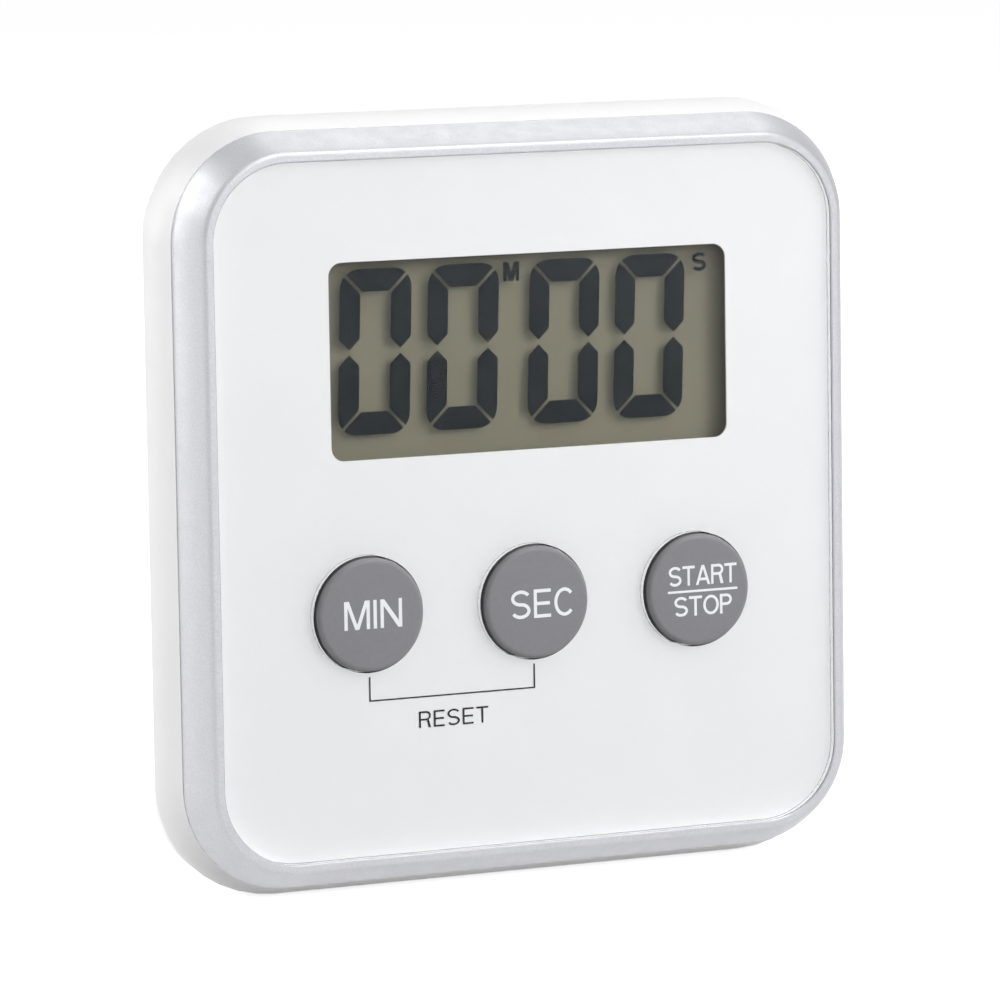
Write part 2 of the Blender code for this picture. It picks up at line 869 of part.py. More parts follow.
def cover_cavity(tools):
    floor = cover_outline(back_inside - back_inner_round, back_wall + back_inner_round)
    floor["depth"] = back_inside
    return loft(
        "cover_cavity",
        tools,
        [
            cover_outline(seam_depth - overrun, back_wall),
            cover_outline(seam_depth, back_wall),
            cover_outline(back_inside - back_inner_round, back_wall),
            floor,
        ],
    )


def cover_lip(tools):
    """The tongue that stands inside the front housing's wall all round the seam."""
    lip_inside = lip_outside - lip_wall
    return loft(
        "cover_lip",
        tools,
        [
            outline(lip_inside, seam_depth - lip_reach),
            outline(lip_outside, seam_depth - lip_reach),
            outline(lip_outside, seam_depth + lip_root_start),
            outline(lip_outside + lip_bite, seam_depth + lip_root_start),
            outline(lip_outside + lip_bite, seam_depth + lip_root_end),
            outline(lip_inside, seam_depth + lip_root_end),
        ],
        closed=True,
    )


def flank_block(name, collection, left, half_height, front, back, wall):
    """A block that ends a wall's depth inside the right flank, and begins at left or beside that flank."""
    sections = []
    for depth in (front, back):
        right = case_half_width - taper_at(depth) - wall
        near = left if left is not None else right - door_leg_backing - back_wall / 2
        sections.append(
            dict(
                width=right - near, height=2 * half_height, corner=0.0, segments=1,
                x=(near + right) / 2, y=bay_y, depth=depth,
            )
        )
    return loft(name, collection, sections)


def bay_solids(tools):
    """What is added inside the cover for the battery: bay box, rails and the wall behind the door's leg."""
    box = block(
        "bay_box", tools, 0.0, bay_y, 2 * (bay_half_length + bay_wall),
        2 * (bay_half_height + bay_wall), bay_floor_depth, back_inside + back_wall / 2,
    )
    rails = flank_block(
        "rail_block", tools, -(bay_half_length + bay_wall + rail_wall),
        door_half_height + door_tongue + door_gap + rail_wall, back_inside - rail_thick,
        back_inside + back_wall / 2, back_wall / 2,
    )
    leg_wall = flank_block(
        "leg_wall", tools, None, door_half_height + door_gap + rail_wall,
        case_depth - door_leg - door_gap - door_leg_backing, back_inside + back_wall / 2, back_wall / 2,
    )
    return box, rails, leg_wall


def door_prisms(name, collection, gap, far):
    """The door's T section run along X, and its leg down the right flank, grown by a gap."""
    left = -(bay_half_length + door_left_lap) - gap
    tongue_front = back_inside + seat_gap - gap
    tongue_back = back_inside + seat_gap + door_tongue_thick
    skin = block(
        f"{name}_skin", collection, (left + far) / 2, bay_y, far - left, 2 * (door_half_height + gap),
        tongue_front, case_depth + overrun,
    )
    tongue = block(
        f"{name}_tongue", collection, (left + far) / 2, bay_y, far - left,
        2 * (door_half_height + door_tongue + gap), tongue_front, tongue_back + gap,
    )
    leg_sections = []
    for depth in (case_depth - door_leg - gap, case_depth + overrun):
        leg_left = case_half_width - taper_at(depth) - back_wall + seat_gap - gap
        leg_sections.append(
            dict(
                width=far - leg_left, height=2 * (door_half_height + gap), corner=0.0, segments=1,
                x=(leg_left + far) / 2, y=bay_y, depth=depth,
            )
        )
    leg = loft(f"{name}_leg", collection, leg_sections)
    return skin, tongue, leg


def battery_door(parts, tools):
    far = case_half_width + overrun
    skin, tongue, leg = door_prisms("battery_door", parts, 0.0, far)
    skin.name = "battery_door"
    for piece in (tongue, leg):
        parts.objects.unlink(piece)
        tools.objects.link(piece)
    join(skin, tongue, leg)
    keep_common(skin, cover_outer("door_envelope", tools))
    for number in range(door_rib_count):
        x = door_rib_x + door_rib_pitch * (number - (door_rib_count - 1) / 2)
        groove = block(
            f"door_groove_{number}", tools, x, bay_y, door_rib_width, door_rib_length,
            case_depth - door_rib_depth, case_depth + overrun,
        )
        cut(skin, groove)
    return skin


def cut_bay(cover, tools):
    bay = block(
        "bay_hollow", tools, 0.0, bay_y, 2 * bay_half_length, 2 * bay_half_height,
        bay_floor_depth + bay_floor, case_depth + overrun,
    )
    slot_half_length = bay_half_length + bay_wall + overrun
    slots = block(
        "wire_slots", tools, 0.0, bay_y - battery_wire_drop, 2 * slot_half_length, wire_slot,
        battery_wire_depth() - wire_slot / 2, battery_wire_depth() + wire_slot / 2,
    )
    cut(cover, bay, slots, *door_prisms("door_slot", tools, door_gap, case_half_width + overrun))


def stand_axis_depth():
    return case_depth - stand_sink - stand_thick / 2


def cut_stand_recess(cover, tools):
    """Thickened floor, the recess, pin sockets in its sides and a finger notch below."""
    recess_top = stand_hinge_y + stand_head_room
    recess_bottom = stand_hinge_y - stand_reach - stand_end_gap
    recess_width = stand_width + 2 * stand_side_gap
    recess_floor = stand_axis_depth() - stand_thick / 2 - stand_floor_gap
    inner_bottom = -case_half_height + back_wall / 2
    wall_top = recess_top + stand_block_wall
    backing = block(
        "stand_block", tools, 0.0, (wall_top + inner_bottom) / 2, recess_width + 2 * stand_block_wall,
        wall_top - inner_bottom, recess_floor - stand_floor, back_inside + back_wall / 2,
    )
    join(cover, backing)
    recess = block(
        "stand_recess", tools, 0.0, (recess_top + recess_bottom) / 2, recess_width,
        recess_top - recess_bottom, recess_floor, case_depth + overrun, stand_edge,
    )
    notch_bottom = -case_half_height - overrun
    notch = block(
        "finger_notch", tools, 0.0, (recess_bottom + notch_corner + notch_bottom) / 2, notch_width,
        recess_bottom + notch_corner - notch_bottom, case_depth - notch_depth, case_depth + overrun,
    )
    sockets = cylinder(
        "pin_sockets", tools, 0.0, 0.0, stand_pin_radius + stand_pin_fit,
        -(stand_width / 2 + stand_pin_reach + stand_pin_end_gap),
        stand_width / 2 + stand_pin_reach + stand_pin_end_gap,
    )
    sockets.rotation_euler = (0.0, math.pi / 2, 0.0)
    sockets.location = (0.0, stand_hinge_y, -stand_axis_depth())
    cut(cover, recess, notch, sockets)


def stand_flap(parts, tools):
    """Modelled about its hinge axis, with pins, a rounded free end and a ribbed underside."""
    height = stand_reach + stand_heel
    middle = (stand_heel - stand_reach) / 2
    flap = block(
        "stand_flap", parts, 0.0, middle, stand_width, height, -stand_thick / 2, stand_thick / 2,
        stand_edge,
    )
    cutters = []
    for side in (-1, 1):
        pocket_width = (stand_width - 2 * stand_rim - stand_rib) / 2
        x = side * (pocket_width + stand_rib) / 2
        cutters.append(
            block(
                f"stand_pocket_{side}", tools, x, middle - stand_heel, pocket_width,
                height - 2 * stand_rim - 2 * stand_heel, -stand_thick / 2 - overrun,
                -stand_thick / 2 + stand_pocket, stand_edge,
            )
        )
    pins = cylinder(
        "stand_pins", tools, 0.0, 0.0, stand_pin_radius, -(stand_width / 2 + stand_pin_reach),
        stand_width / 2 + stand_pin_reach,
    )
    pins.rotation_euler = (0.0, math.pi / 2, 0.0)
    join(flap, pins)
    cut(flap, *cutters)
    for piece in (*cutters, pins):
        piece.parent = flap
    flap.location = (0.0, stand_hinge_y, -stand_axis_depth())
    return flap


def magnet_places():
    return {"left": magnet_x, "right": -magnet_x}


def add_magnet_cups(cover, tools):
    for side, x in magnet_places().items():
        cup_floor = case_depth - magnet_sink - magnet_thick - seat_gap
        cup = cylinder(
            f"magnet_cup_{side}", tools, x, magnet_y, magnet_radius + seat_gap + magnet_cup_wall,
            cup_floor - magnet_cup_floor, back_inside + back_wall / 2, round_steps,
        )
        hollow = cylinder(
            f"magnet_hollow_{side}", tools, x, magnet_y, magnet_radius + seat_gap, cup_floor,
            case_depth + overrun, round_steps,
        )
        join(cover, cup)
        cut(cover, hollow)


def magnets(parts):
    for side, x in magnet_places().items():
        half = magnet_thick / 2
        profile = [
            (0.0, half),
            (magnet_radius - magnet_edge, half),
            (magnet_radius, half - magnet_edge),
            (magnet_radius, magnet_edge - half),
            (magnet_radius - magnet_edge, -half),
            (0.0, -half),
        ]
        magnet = shade_round(turned(f"magnet_{side}", parts, profile))
        magnet.location = (x, magnet_y, -(case_depth - magnet_sink - half))


def add_screw_wells(cover, tools):
    """Tubes down to the front housing's bosses, each with a floor for the screw's head."""
    floor_front = seam_depth + seat_gap
    for number, (x, y) in enumerate(screw_places(), 1):
        tube = cylinder(
            f"well_tube_{number}", tools, x, y, well_radius + well_wall, floor_front,
            back_inside + back_wall / 2,
        )
        well = cylinder(
            f"well_{number}", tools, x, y, well_radius, floor_front + boss_floor, case_depth + overrun
        )
        hole = cylinder(
            f"well_hole_{number}", tools, x, y, screw_radius + screw_fit, floor_front - overrun, case_depth
        )
        join(cover, tube)
        cut(cover, well, hole)


def add_buzzer_seat(cover, tools):
    seat_front = back_inside - buzzer_stand - buzzer_thick - seat_gap - buzzer_ring_lip
    ring = cylinder(
        "buzzer_ring", tools, 0.0, buzzer_y, buzzer_radius + seat_gap + buzzer_ring_wall, seat_front,
        back_inside + back_wall / 2, round_steps,
    )
    seat = cylinder(
        "buzzer_seat", tools, 0.0, buzzer_y, buzzer_radius + seat_gap, seat_front - overrun,
        back_inside - buzzer_stand, round_steps,
    )
    chamber = cylinder(
        "buzzer_chamber", tools, 0.0, buzzer_y, buzzer_radius - buzzer_ring_wall, seat_front - overrun,
        back_inside, round_steps,
    )
    join(cover, ring)
    cut(cover, seat, chamber)
    places = [(0.0, buzzer_y)]
    for number in range(sound_hole_count):
        turn = 2 * math.pi * number / sound_hole_count
        places.append((sound_hole_circle * math.sin(turn), buzzer_y + sound_hole_circle * math.cos(turn)))
    for number, (x, y) in enumerate(places):
        hole = cylinder(
            f"sound_hole_{number}", tools, x, y, sound_hole_radius, back_inside - overrun / 2,
            case_depth + overrun,
        )
        cut(cover, hole)


def back_cover(parts, tools):
    cover = cover_outer("back_cover", parts)
    cut(cover, cover_cavity(tools))
    join(cover, cover_lip(tools), *bay_solids(tools))
    cut_bay(cover, tools)
    cut_stand_recess(cover, tools)
    add_magnet_cups(cover, tools)
    add_screw_wells(cover, tools)
    add_buzzer_seat(cover, tools)
    return cover


def piezo_disc(parts):
    front = back_inside - buzzer_stand - seat_gap - buzzer_thick
    disc = cylinder(
        "piezo_disc", parts, 0.0, buzzer_y, buzzer_radius, front, front + buzzer_thick, round_steps
    )
    return shade_round(disc)


def battery_cell(parts):
    """AAA cell lying along X, with its positive end to the right."""
    profile = [
        (0.0, cell_length),
        (cell_nub_radius, cell_length),
        (cell_nub_radius, cell_length - cell_nub),
        (cell_radius - cell_edge, cell_length - cell_nub),
        (cell_radius, cell_length - cell_nub - cell_edge),
        (cell_radius, cell_edge),
        (cell_radius - cell_edge, 0.0),
        (0.0, 0.0),
    ]
    cell = shade_round(turned("battery_cell", parts, profile))
    cell.rotation_euler = (0.0, math.pi / 2, 0.0)
    cell.location = (cell_start_x(), bay_y, -cell_depth)
    return cell


def cell_start_x():
    return bay_half_length - contact_thick - 2 * seat_gap - cell_length


def contact_plate(name, parts, x):
    """A nickel plate that stands on edge across the end of the bay."""
    plate = block(
        name, parts, 0.0, 0.0, contact_width, contact_width, -contact_thick / 2, contact_thick / 2,
        contact_corner,
    )
    plate.rotation_euler = (0.0, math.pi / 2, 0.0)
    plate.location = (x, bay_y, -cell_depth)
    return plate


def spring_path(step, steps):
    """Point of the conical spring, which narrows towards the cell, at an even step."""
    share = step / steps
    turn = 2 * math.pi * spring_turns * share
    radius = spring_wide + (spring_narrow - spring_wide) * share
    start = cell_start_x() - seat_gap - spring_length + spring_wire / 2
    x = start + (spring_length - spring_wire) * share
    return Vector((x, bay_y + radius * math.cos(turn), -cell_depth + radius * math.sin(turn)))


def tube_along(name, collection, points, radius):
    curve = bpy.data.curves.new(name, "CURVE")
    curve.dimensions = "3D"
    curve.bevel_depth = radius
    curve.bevel_resolution = 2
    curve.use_fill_caps = True
    spline = curve.splines.new("POLY")
    spline.points.add(len(points) - 1)
    for target, point in zip(spline.points, points):
        target.co = (*point, 1.0)
    return shade_round(as_mesh(link_mesh(name, curve, collection)))


def wire(name, parts, points):
    """A soft wire, smooth from end to end. Points are (x, y, depth)."""
    curve = bpy.data.curves.new(name, "CURVE")
    curve.dimensions = "3D"
    curve.bevel_depth = wire_radius
    curve.bevel_resolution = 1
    curve.resolution_u = wire_bend_steps
    curve.use_fill_caps = True
    spline = curve.splines.new("NURBS")
    spline.points.add(len(points) - 1)
    for target, (x, y, depth) in zip(spline.points, points):
        target.co = (x, y, -depth, 1.0)
    spline.order_u = 3
    spline.use_endpoint_u = True
    return shade_round(as_mesh(link_mesh(name, curve, parts)))


def battery_wire_depth():
    return cell_depth - cell_radius / 2


def battery_wire(side, name, parts):
    """From a contact's back, out through the bay's end wall and down to the board."""
    pad = board_back + seat_gap
    y = bay_y - battery_wire_drop
    depth = battery_wire_depth()
    return wire(
        name,
        parts,
        [
            (side * bay_half_length, y, depth),
            (side * (bay_half_length + bay_wall), y, depth),
            (side * side_wire_x, y, depth),
            (side * side_wire_x, board_top, depth),
            (side * battery_pad_x, board_top - pad_inset, pad + wire_rise),
            (side * battery_pad_x, board_top - pad_inset, pad),
        ],
    )


def buzzer_wire(number, parts):
    """From the board, up beside the battery bay and over to the buzzer's disc."""
    pad = board_back + seat_gap
    pad_x = buzzer_pad_x + buzzer_pad_pitch * number
    end_y = buzzer_y + buzzer_joint_pitch * (number - 1 / 2)
    end_depth = back_inside - buzzer_stand - buzzer_thick - 2 * seat_gap
    depth = pad + buzzer_wire_rise + buzzer_pad_pitch * number
    turn_y = buzzer_wire_turn_y + buzzer_pad_pitch * number
    return wire(
        f"buzzer_wire_{number + 1}",
        parts,
        [
            (pad_x, board_top - pad_inset, pad),
            (pad_x, board_top - pad_inset, depth),
            (-side_wire_x, board_top - pad_inset, depth),
            (-side_wire_x, bay_y, depth),
            (-side_wire_x, turn_y, depth),
            (buzzer_pad_x, turn_y, depth),
            (buzzer_joint_x, end_y, end_depth - buzzer_wire_end_rise),
            (buzzer_joint_x, end_y, end_depth),
        ],
    )


def battery_spring(parts):
    steps = round(spring_turns * spring_points_per_turn)
    points = [spring_path(step, steps) for step in range(steps + 1)]
    gaps = []
    for i, first in enumerate(points):
        for second in points[i + spring_points_per_turn // 2 :]:
            gaps.append((first - second).length - spring_wire)
    print(f"battery_spring least gap to itself: {min(gaps) / mm:.2f} mm")
    return tube_along("battery_spring", parts, points, spring_wire / 2)


def frame_empty(parts):
    """Stands the face upright: the origin is under the middle of the case, at its lowest edge."""
    empty = bpy.data.objects.new("timer_frame", None)
    parts.objects.link(empty)
    empty.rotation_euler = (math.pi / 2, 0.0, 0.0)
    empty.location = (0.0, -(case_depth - key_stand) / 2, case_half_height)
    return empty


def finishes():
    return {
        "white_plastic": make_material("white_plastic", (0.86, 0.86, 0.87), 0.35),
        "white_print": make_material("white_print", (0.83, 0.83, 0.84), 0.4),
        "clear_acrylic": make_material("clear_acrylic", (0.92, 0.94, 0.96), 0.05),
        "silver_paint": make_material("silver_paint", (0.62, 0.62, 0.66), 0.3, 0.8),
        "grey_key": make_material("grey_key", (0.20, 0.20, 0.21), 0.6),
        "display_glass": make_material("display_glass", (0.5, 0.52, 0.46), 0.08),
        "reflector": make_material("reflector", (0.27, 0.26, 0.19), 0.5),
        "white_holder": make_material("white_holder", (0.8, 0.8, 0.78), 0.5),
        "black_rubber": make_material("black_rubber", (0.03, 0.03, 0.03), 0.7),
        "board_green": make_material("board_green", (0.05, 0.2, 0.09), 0.45),
        "black_resin": make_material("black_resin", (0.02, 0.02, 0.02), 0.3),
        "steel": make_material("steel", (0.55, 0.55, 0.56), 0.35, 1.0),
        "brass": make_material("brass", (0.7, 0.5, 0.2), 0.35, 1.0),
        "copper": make_material("copper", (0.6, 0.28, 0.12), 0.4, 1.0),
        "cell_jacket": make_material("cell_jacket", (0.10, 0.12, 0.16), 0.35),
        "wire_red": make_material("wire_red", (0.5, 0.03, 0.03), 0.5),
        "ceramic": make_material("ceramic", (0.45, 0.32, 0.2), 0.5),
    }


FINISH_OF = {
    "front_lens": "clear_acrylic",
    "window_mask": "white_print",
    "bezel_ring": "silver_paint",
    "key": "grey_key",
    "rubber": "black_rubber",
    "lcd_front_glass": "display_glass",
    "lcd_rear_glass": "display_glass",
    "lcd_reflector": "reflector",
    "lcd_holder": "white_holder",
    "zebra": "black_rubber",
    "circuit_board": "board_green",
    "chip": "black_resin",
    "quartz": "steel",
    "boost": "copper",
    "capacitor": "ceramic",
    "case_screw": "steel",
    "board_screw": "steel",
    "magnet": "steel",
    "piezo": "brass",
    "battery_cell": "cell_jacket",
    "battery_spring": "steel",
    "negative_contact": "steel",
    "positive_contact": "steel",
    "negative_wire": "black_rubber",
    "positive_wire": "wire_red",
    "buzzer_wire": "black_rubber",
}


def finish_pieces(parts):
    """Gives every piece its finish. The casing is white plastic."""
    made = finishes()
    for obj in parts.objects:
        if obj.type != "MESH":
            continue
        slot = next((s for stem, s in FINISH_OF.items() if obj.name.startswith(stem)), "white_plastic")
        obj.data.materials.clear()
        obj.data.materials.append(made[slot])


def hang_on_frame(frame, *collections):
    for collection in collections:
        for obj in collection.objects:
            if obj.parent is None and obj is not frame:
                obj.parent = frame


def main():
    clear_scene()
    parts = make_collection("digital_timer")
    tools = make_collection("cutters")
    tools.hide_render = True
    front_lens(parts, tools)
    window_mask(parts, tools)
    bezel_ring(parts)
    front_housing(parts, tools)
    for label, x in key_positions.items():
        key_cap(label, x, parts, tools)
        rubber_dome(label, x, parts)
    display_glass(parts)
    lcd_holder(parts, tools)
    zebra_strip(parts)
    circuit_board(parts, tools)
    board_sizes = (
        board_screw_radius, board_screw_head_radius, board_screw_head, board_screw_length,
        board_screw_radius, board_screw_head / 2,
    )
    place_screws(parts, "board_screw", board_screw_places(), board_back + seat_gap, board_sizes)
    board_parts(parts)
    back_cover(parts, tools)
    case_sizes = (
        screw_radius, screw_head_radius, screw_head, screw_length, screw_recess_radius,
        screw_recess_depth,
    )
    screw_seat = seam_depth + seat_gap + boss_floor + seat_gap
    place_screws(parts, "case_screw", screw_places(), screw_seat, case_sizes)
    battery_door(parts, tools)
    stand_flap(parts, tools)
    magnets(parts)
    piezo_disc(parts)
    battery_cell(parts)
    contact_plate("negative_contact", parts, -bay_half_length + seat_gap + contact_thick / 2)
    contact_plate("positive_contact", parts, bay_half_length - seat_gap - contact_thick / 2)
    battery_spring(parts)
    battery_wire(-1, "negative_wire", parts)
    battery_wire(1, "positive_wire", parts)
    for number in (0, 1):
        buzzer_wire(number, parts)
    frame = frame_empty(parts)
    finish_pieces(parts)
    hang_on_frame(frame, parts, tools)


main()
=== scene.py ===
"""Looks of the digital kitchen timer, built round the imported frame.

Pieces are drawn face up, as on a bench: X runs across the face, Y up it and Z out of it, from the
middle of the clear plate's front. FACE_UP_TO_WORLD then stands them up where the frame has them.
A depth is counted from the plate's front towards the back.
"""

import math

import bmesh
import bpy
from mathutils import Matrix, Vector


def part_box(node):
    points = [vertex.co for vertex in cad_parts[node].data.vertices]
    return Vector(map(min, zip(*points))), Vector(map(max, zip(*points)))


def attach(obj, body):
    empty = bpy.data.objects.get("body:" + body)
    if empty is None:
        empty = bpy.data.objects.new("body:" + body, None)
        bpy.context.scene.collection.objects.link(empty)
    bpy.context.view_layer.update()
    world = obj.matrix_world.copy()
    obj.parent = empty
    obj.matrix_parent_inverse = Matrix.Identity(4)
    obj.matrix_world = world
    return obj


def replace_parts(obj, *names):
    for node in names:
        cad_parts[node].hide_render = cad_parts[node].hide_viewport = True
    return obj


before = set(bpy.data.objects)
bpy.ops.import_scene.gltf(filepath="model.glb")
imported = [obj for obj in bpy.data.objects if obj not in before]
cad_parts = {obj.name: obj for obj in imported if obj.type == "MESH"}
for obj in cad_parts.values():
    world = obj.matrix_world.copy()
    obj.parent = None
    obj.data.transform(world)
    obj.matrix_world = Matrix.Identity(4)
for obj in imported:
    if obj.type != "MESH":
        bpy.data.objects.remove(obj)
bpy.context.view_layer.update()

mm = 0.001
weld_distance = 0.0005 * mm
tiny = 0.001 * mm

# Places taken from the frame
lens_low, lens_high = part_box("front_lens")
bezel_low, bezel_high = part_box("bezel_ring")
mask_low, mask_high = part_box("window_mask")
front_glass_low, front_glass_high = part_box("lcd_front_glass")
rear_glass_low, rear_glass_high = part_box("lcd_rear_glass")
LABELS = ("min", "sec", "start_stop")
KEY_BODY = {"min": "minutes_key", "sec": "seconds_key", "start_stop": "start_stop_key"}
key_boxes = {label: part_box(f"key_{label}") for label in LABELS}
face_y = lens_low.y
middle = Vector(((lens_low.x + lens_high.x) / 2, face_y, (lens_low.z + lens_high.z) / 2))
FACE_UP_TO_WORLD = Matrix.Translation(middle) @ Matrix.Rotation(math.radians(90), 4, "X")
lens_width = lens_high.x - lens_low.x
lens_height = lens_high.z - lens_low.z
lens_thick = lens_high.y - face_y
mask_front = mask_low.y - face_y
mask_back = mask_high.y - face_y
glass_gap_front = front_glass_high.y - face_y
glass_gap_back = rear_glass_low.y - face_y
bezel_stand = face_y - bezel_low.y
bezel_seat = bezel_high.y - face_y
bezel_offset = (bezel_high.x - bezel_low.x - lens_width) / 2

# Clear plate and the white layer printed behind it
lens_corner = 8.0 * mm
lens_edge = 0.05 * mm
lens_edge_steps = 3
corner_steps = 24
window_width = 44.24 * mm
window_height = 20.11 * mm
window_corner = 1.43 * mm
window_x = 0.42 * mm
window_y = 15.16 * mm

# Silver bezel ring
lens_fit = 0.03 * mm
land_width = 0.94 * mm
slope_width = bezel_offset - lens_fit - land_width
slope_drop = 4.05 * mm
slope_bulge = 0.15 * mm
slope_steps = 18
crest_round = 0.30 * mm
crest_steps = 5
crest_span = 2  # steps of the slope that the rounded crest takes in
foot_round = 0.12 * mm
foot_width = 1.35 * mm

# Keys
key_y = -10.50 * mm
key_radius = 5.83 * mm
hole_radius = 6.00 * mm
key_edge = 0.6 * mm
key_edge_steps = 8
key_wall = 1.0 * mm
key_skin = 1.3 * mm
flange_reach = 0.9 * mm
flange_front = 3.3 * mm
flange_back = 4.1 * mm
stem_radius = 2.1 * mm
key_steps = 96
# Painted shade on the keys: depths behind a key's front between which its side walls turn near
# black, standing in for the shade in the gap round the key
key_painted_shade_start = 0.36 * mm
key_painted_shade_end = 0.66 * mm

# Display segments, seen through the plate and the front glass
digit_width = 7.85 * mm
digit_height = 16.87 * mm
digit_middle_y = 15.98 * mm
digit_pitch = 9.66 * mm
digit_lean = 0.033
pair_x = (-11.63 * mm, 9.29 * mm)
upright_stroke = 2.25 * mm
level_stroke = 2.34 * mm
mitre_gap = 0.33 * mm
tip_gap = 0.5 * mm
digit_corner = 2.1 * mm
digit_corner_steps = 8
segment_thick = 0.03 * mm
ink_cover = 0.92  # how much of the ground a lit segment hides
ink_shade = 0.38  # how much lamp light it keeps off the ground

# Bands of the cell's jacket, from its ends
cell_band = 12.0 * mm
cell_end = 1.1 * mm
cell_rim = 0.5 * mm

# Angles, in degrees, above which an edge is shaded sharp, and edges cleared or rounded
sheet_crease = 35
turned_crease = 40
node_crease = 38
flat_angle = 0.2
edge_angle = 32
edge_segments = 2

# Letters, as shares of their height
word_stroke, word_space = 0.12, 0.13
tight_stroke, tight_space = 0.14, 0.06
reset_stroke, reset_space = 0.105, 0.19
display_mark_stroke = 0.20
oval_steps = 24
bowl_steps = 16
leg_step = 3  # step of the bowl from which the leg of an R starts

# Words and lines, each as centre x, centre y, width and height
WORD_BOXES = {
    "MIN": (-18.20 * mm, -10.40 * mm, 6.33 * mm, 2.93 * mm),
    "SEC": (0.62 * mm, -10.60 * mm, 7.15 * mm, 2.95 * mm),
    "START": (18.77 * mm, -8.93 * mm, 7.79 * mm, 2.06 * mm),
    "STOP": (18.78 * mm, -12.11 * mm, 6.61 * mm, 2.06 * mm),
    "RESET": (-8.82 * mm, -21.88 * mm, 7.69 * mm, 1.70 * mm),
    "M": (-1.29 * mm, 23.37 * mm, 1.77 * mm, 1.97 * mm),
    "S": (19.94 * mm, 23.36 * mm, 1.60 * mm, 1.97 * mm),
}
print_thick = 0.02 * mm
bar_box = (18.74 * mm, -10.56 * mm, 8.03 * mm, 0.25 * mm)
bracket_left, bracket_right = -18.02 * mm, 0.26 * mm
bracket_top, bracket_bottom = -17.06 * mm, -19.52 * mm
bracket_line = 0.14 * mm
bar_end_steps = 4

# Camera, at the photograph's angle
camera_azimuth = math.radians(23.638)
camera_elevation = math.radians(7.103)
camera_roll = math.radians(-0.895)
camera_distance = 590.97 * mm
camera_right = 3.34 * mm
camera_up = -0.037 * mm
camera_lens = 208.12
camera_sensor = 36.0

# Lamps: place, width, height, power in watts, whether matt surfaces get their
# light, and whether gloss shows them
lamp_aim = Vector((0.0, 0.0, middle.z))
LAMPS = {
    "key": (Vector((0.60, -0.66, 0.46)), 0.30, 0.60, 7.4, True, False),
    "front": (Vector((0.20, -0.95, 0.44)), 0.50, 0.50, 2.2, True, True),
    "left": (Vector((-0.90, 0.32, 0.20)), 0.90, 0.90, 10.2, True, False),
    "side": (Vector((-0.80, 0.52, 0.14)), 0.40, 0.40, 1.6, False, True),
    "corner": (Vector((-0.72, 0.35, 0.62)), 0.45, 0.45, 2.7, False, True),
    "top": (Vector((0.36, 0.42, 0.85)), 0.50, 0.40, 1.3, False, True),
    "crest": (Vector((0.30, -0.55, 0.95)), 0.30, 0.30, 4.4, False, True),
    "back": (Vector((0.34, 0.92, 0.30)), 0.80, 0.80, 4.0, True, False),
}
world_light = 0.28
floor_size = 6.0
floor_bounce = 0.36
floor_paper = 0.80
floor_glow = 0.75


def work(name, bm):
    """A new object from a bmesh drawn face up, stood up in the world."""
    mesh = bpy.data.meshes.new(name)
    bmesh.ops.recalc_face_normals(bm, faces=bm.faces)
    bm.to_mesh(mesh)
    bm.free()
    mesh.transform(FACE_UP_TO_WORLD)
    piece = bpy.data.objects.new(name, mesh)
    bpy.context.scene.collection.objects.link(piece)
    return piece


def arc(centre_x, centre_y, radius, start, end, steps):
    """Points round an arc, ends included, angles in degrees."""
    points = []
    for step in range(steps + 1):
        angle = math.radians(start + (end - start) * step / steps)
        points.append((centre_x + radius * math.cos(angle), centre_y + radius * math.sin(angle)))
    return points


def rounded_outline(x, y, width, height, corner, steps=corner_steps):
    """A rounded rectangle, counted anticlockwise from its lower right corner."""
    across, up = width / 2 - corner, height / 2 - corner
    points = []
    for quarter, (side, rise) in enumerate(((1, -1), (1, 1), (-1, 1), (-1, -1))):
        start = 90 * quarter - 90
        points += arc(x + side * across, y + rise * up, corner, start, start + 90, steps)
    return points


def plate_outline(offset):
    """The clear plate's outline, grown by an offset."""
    return rounded_outline(
        0.0, 0.0, lens_width + 2 * offset, lens_height + 2 * offset, lens_corner + offset
    )


def ring(bm, points, depth):
    return [bm.verts.new((x, y, -depth)) for x, y in points]


def bridge(bm, first, second):
    for i in range(len(first)):
        bm.faces.new((first[i - 1], first[i], second[i], second[i - 1]))


def sheet_with_holes(name, outlines, front, back, edge=0.0, edge_steps=0):
    """A plate drawn as a filled flat curve, its edges rounded on both sides."""
    curve = bpy.data.curves.new(name, "CURVE")
    curve.dimensions = "2D"
    curve.fill_mode = "BOTH"
    curve.extrude = (back - front) / 2 - edge
    curve.bevel_depth = edge
    curve.bevel_resolution = edge_steps
    curve.offset = -edge
    for points in outlines:
        spline = curve.splines.new("POLY")
        spline.points.add(len(points) - 1)
        spline.use_cyclic_u = True
        for place, (x, y) in zip(spline.points, points):
            place.co = (x, y, 0.0, 1.0)
    return stand_up(name, curve, (front + back) / 2)


def stand_up(name, curve, depth):
    """Turns a flat curve into a closed mesh at a depth."""
    drawn = bpy.data.objects.new(name, curve)
    bpy.context.scene.collection.objects.link(drawn)
    graph = bpy.context.evaluated_depsgraph_get()
    mesh = bpy.data.meshes.new_from_object(drawn.evaluated_get(graph))
    bpy.data.objects.remove(drawn, do_unlink=True)
    bm = bmesh.new()
    bm.from_mesh(mesh)
    bmesh.ops.remove_doubles(bm, verts=bm.verts, dist=weld_distance)
    bmesh.ops.translate(bm, vec=(0.0, 0.0, -depth), verts=bm.verts)
    return work(name, bm)


def shade_by_angle(piece, degrees=sheet_crease):
    piece.data.shade_smooth()
    piece.data.set_sharp_from_angle(angle=math.radians(degrees))
    return piece


def weigh_faces(piece):
    """Lets large faces set the shading where they meet small ones."""
    weigh = piece.modifiers.new("Face weight", "WEIGHTED_NORMAL")
    weigh.keep_sharp = True
    return piece


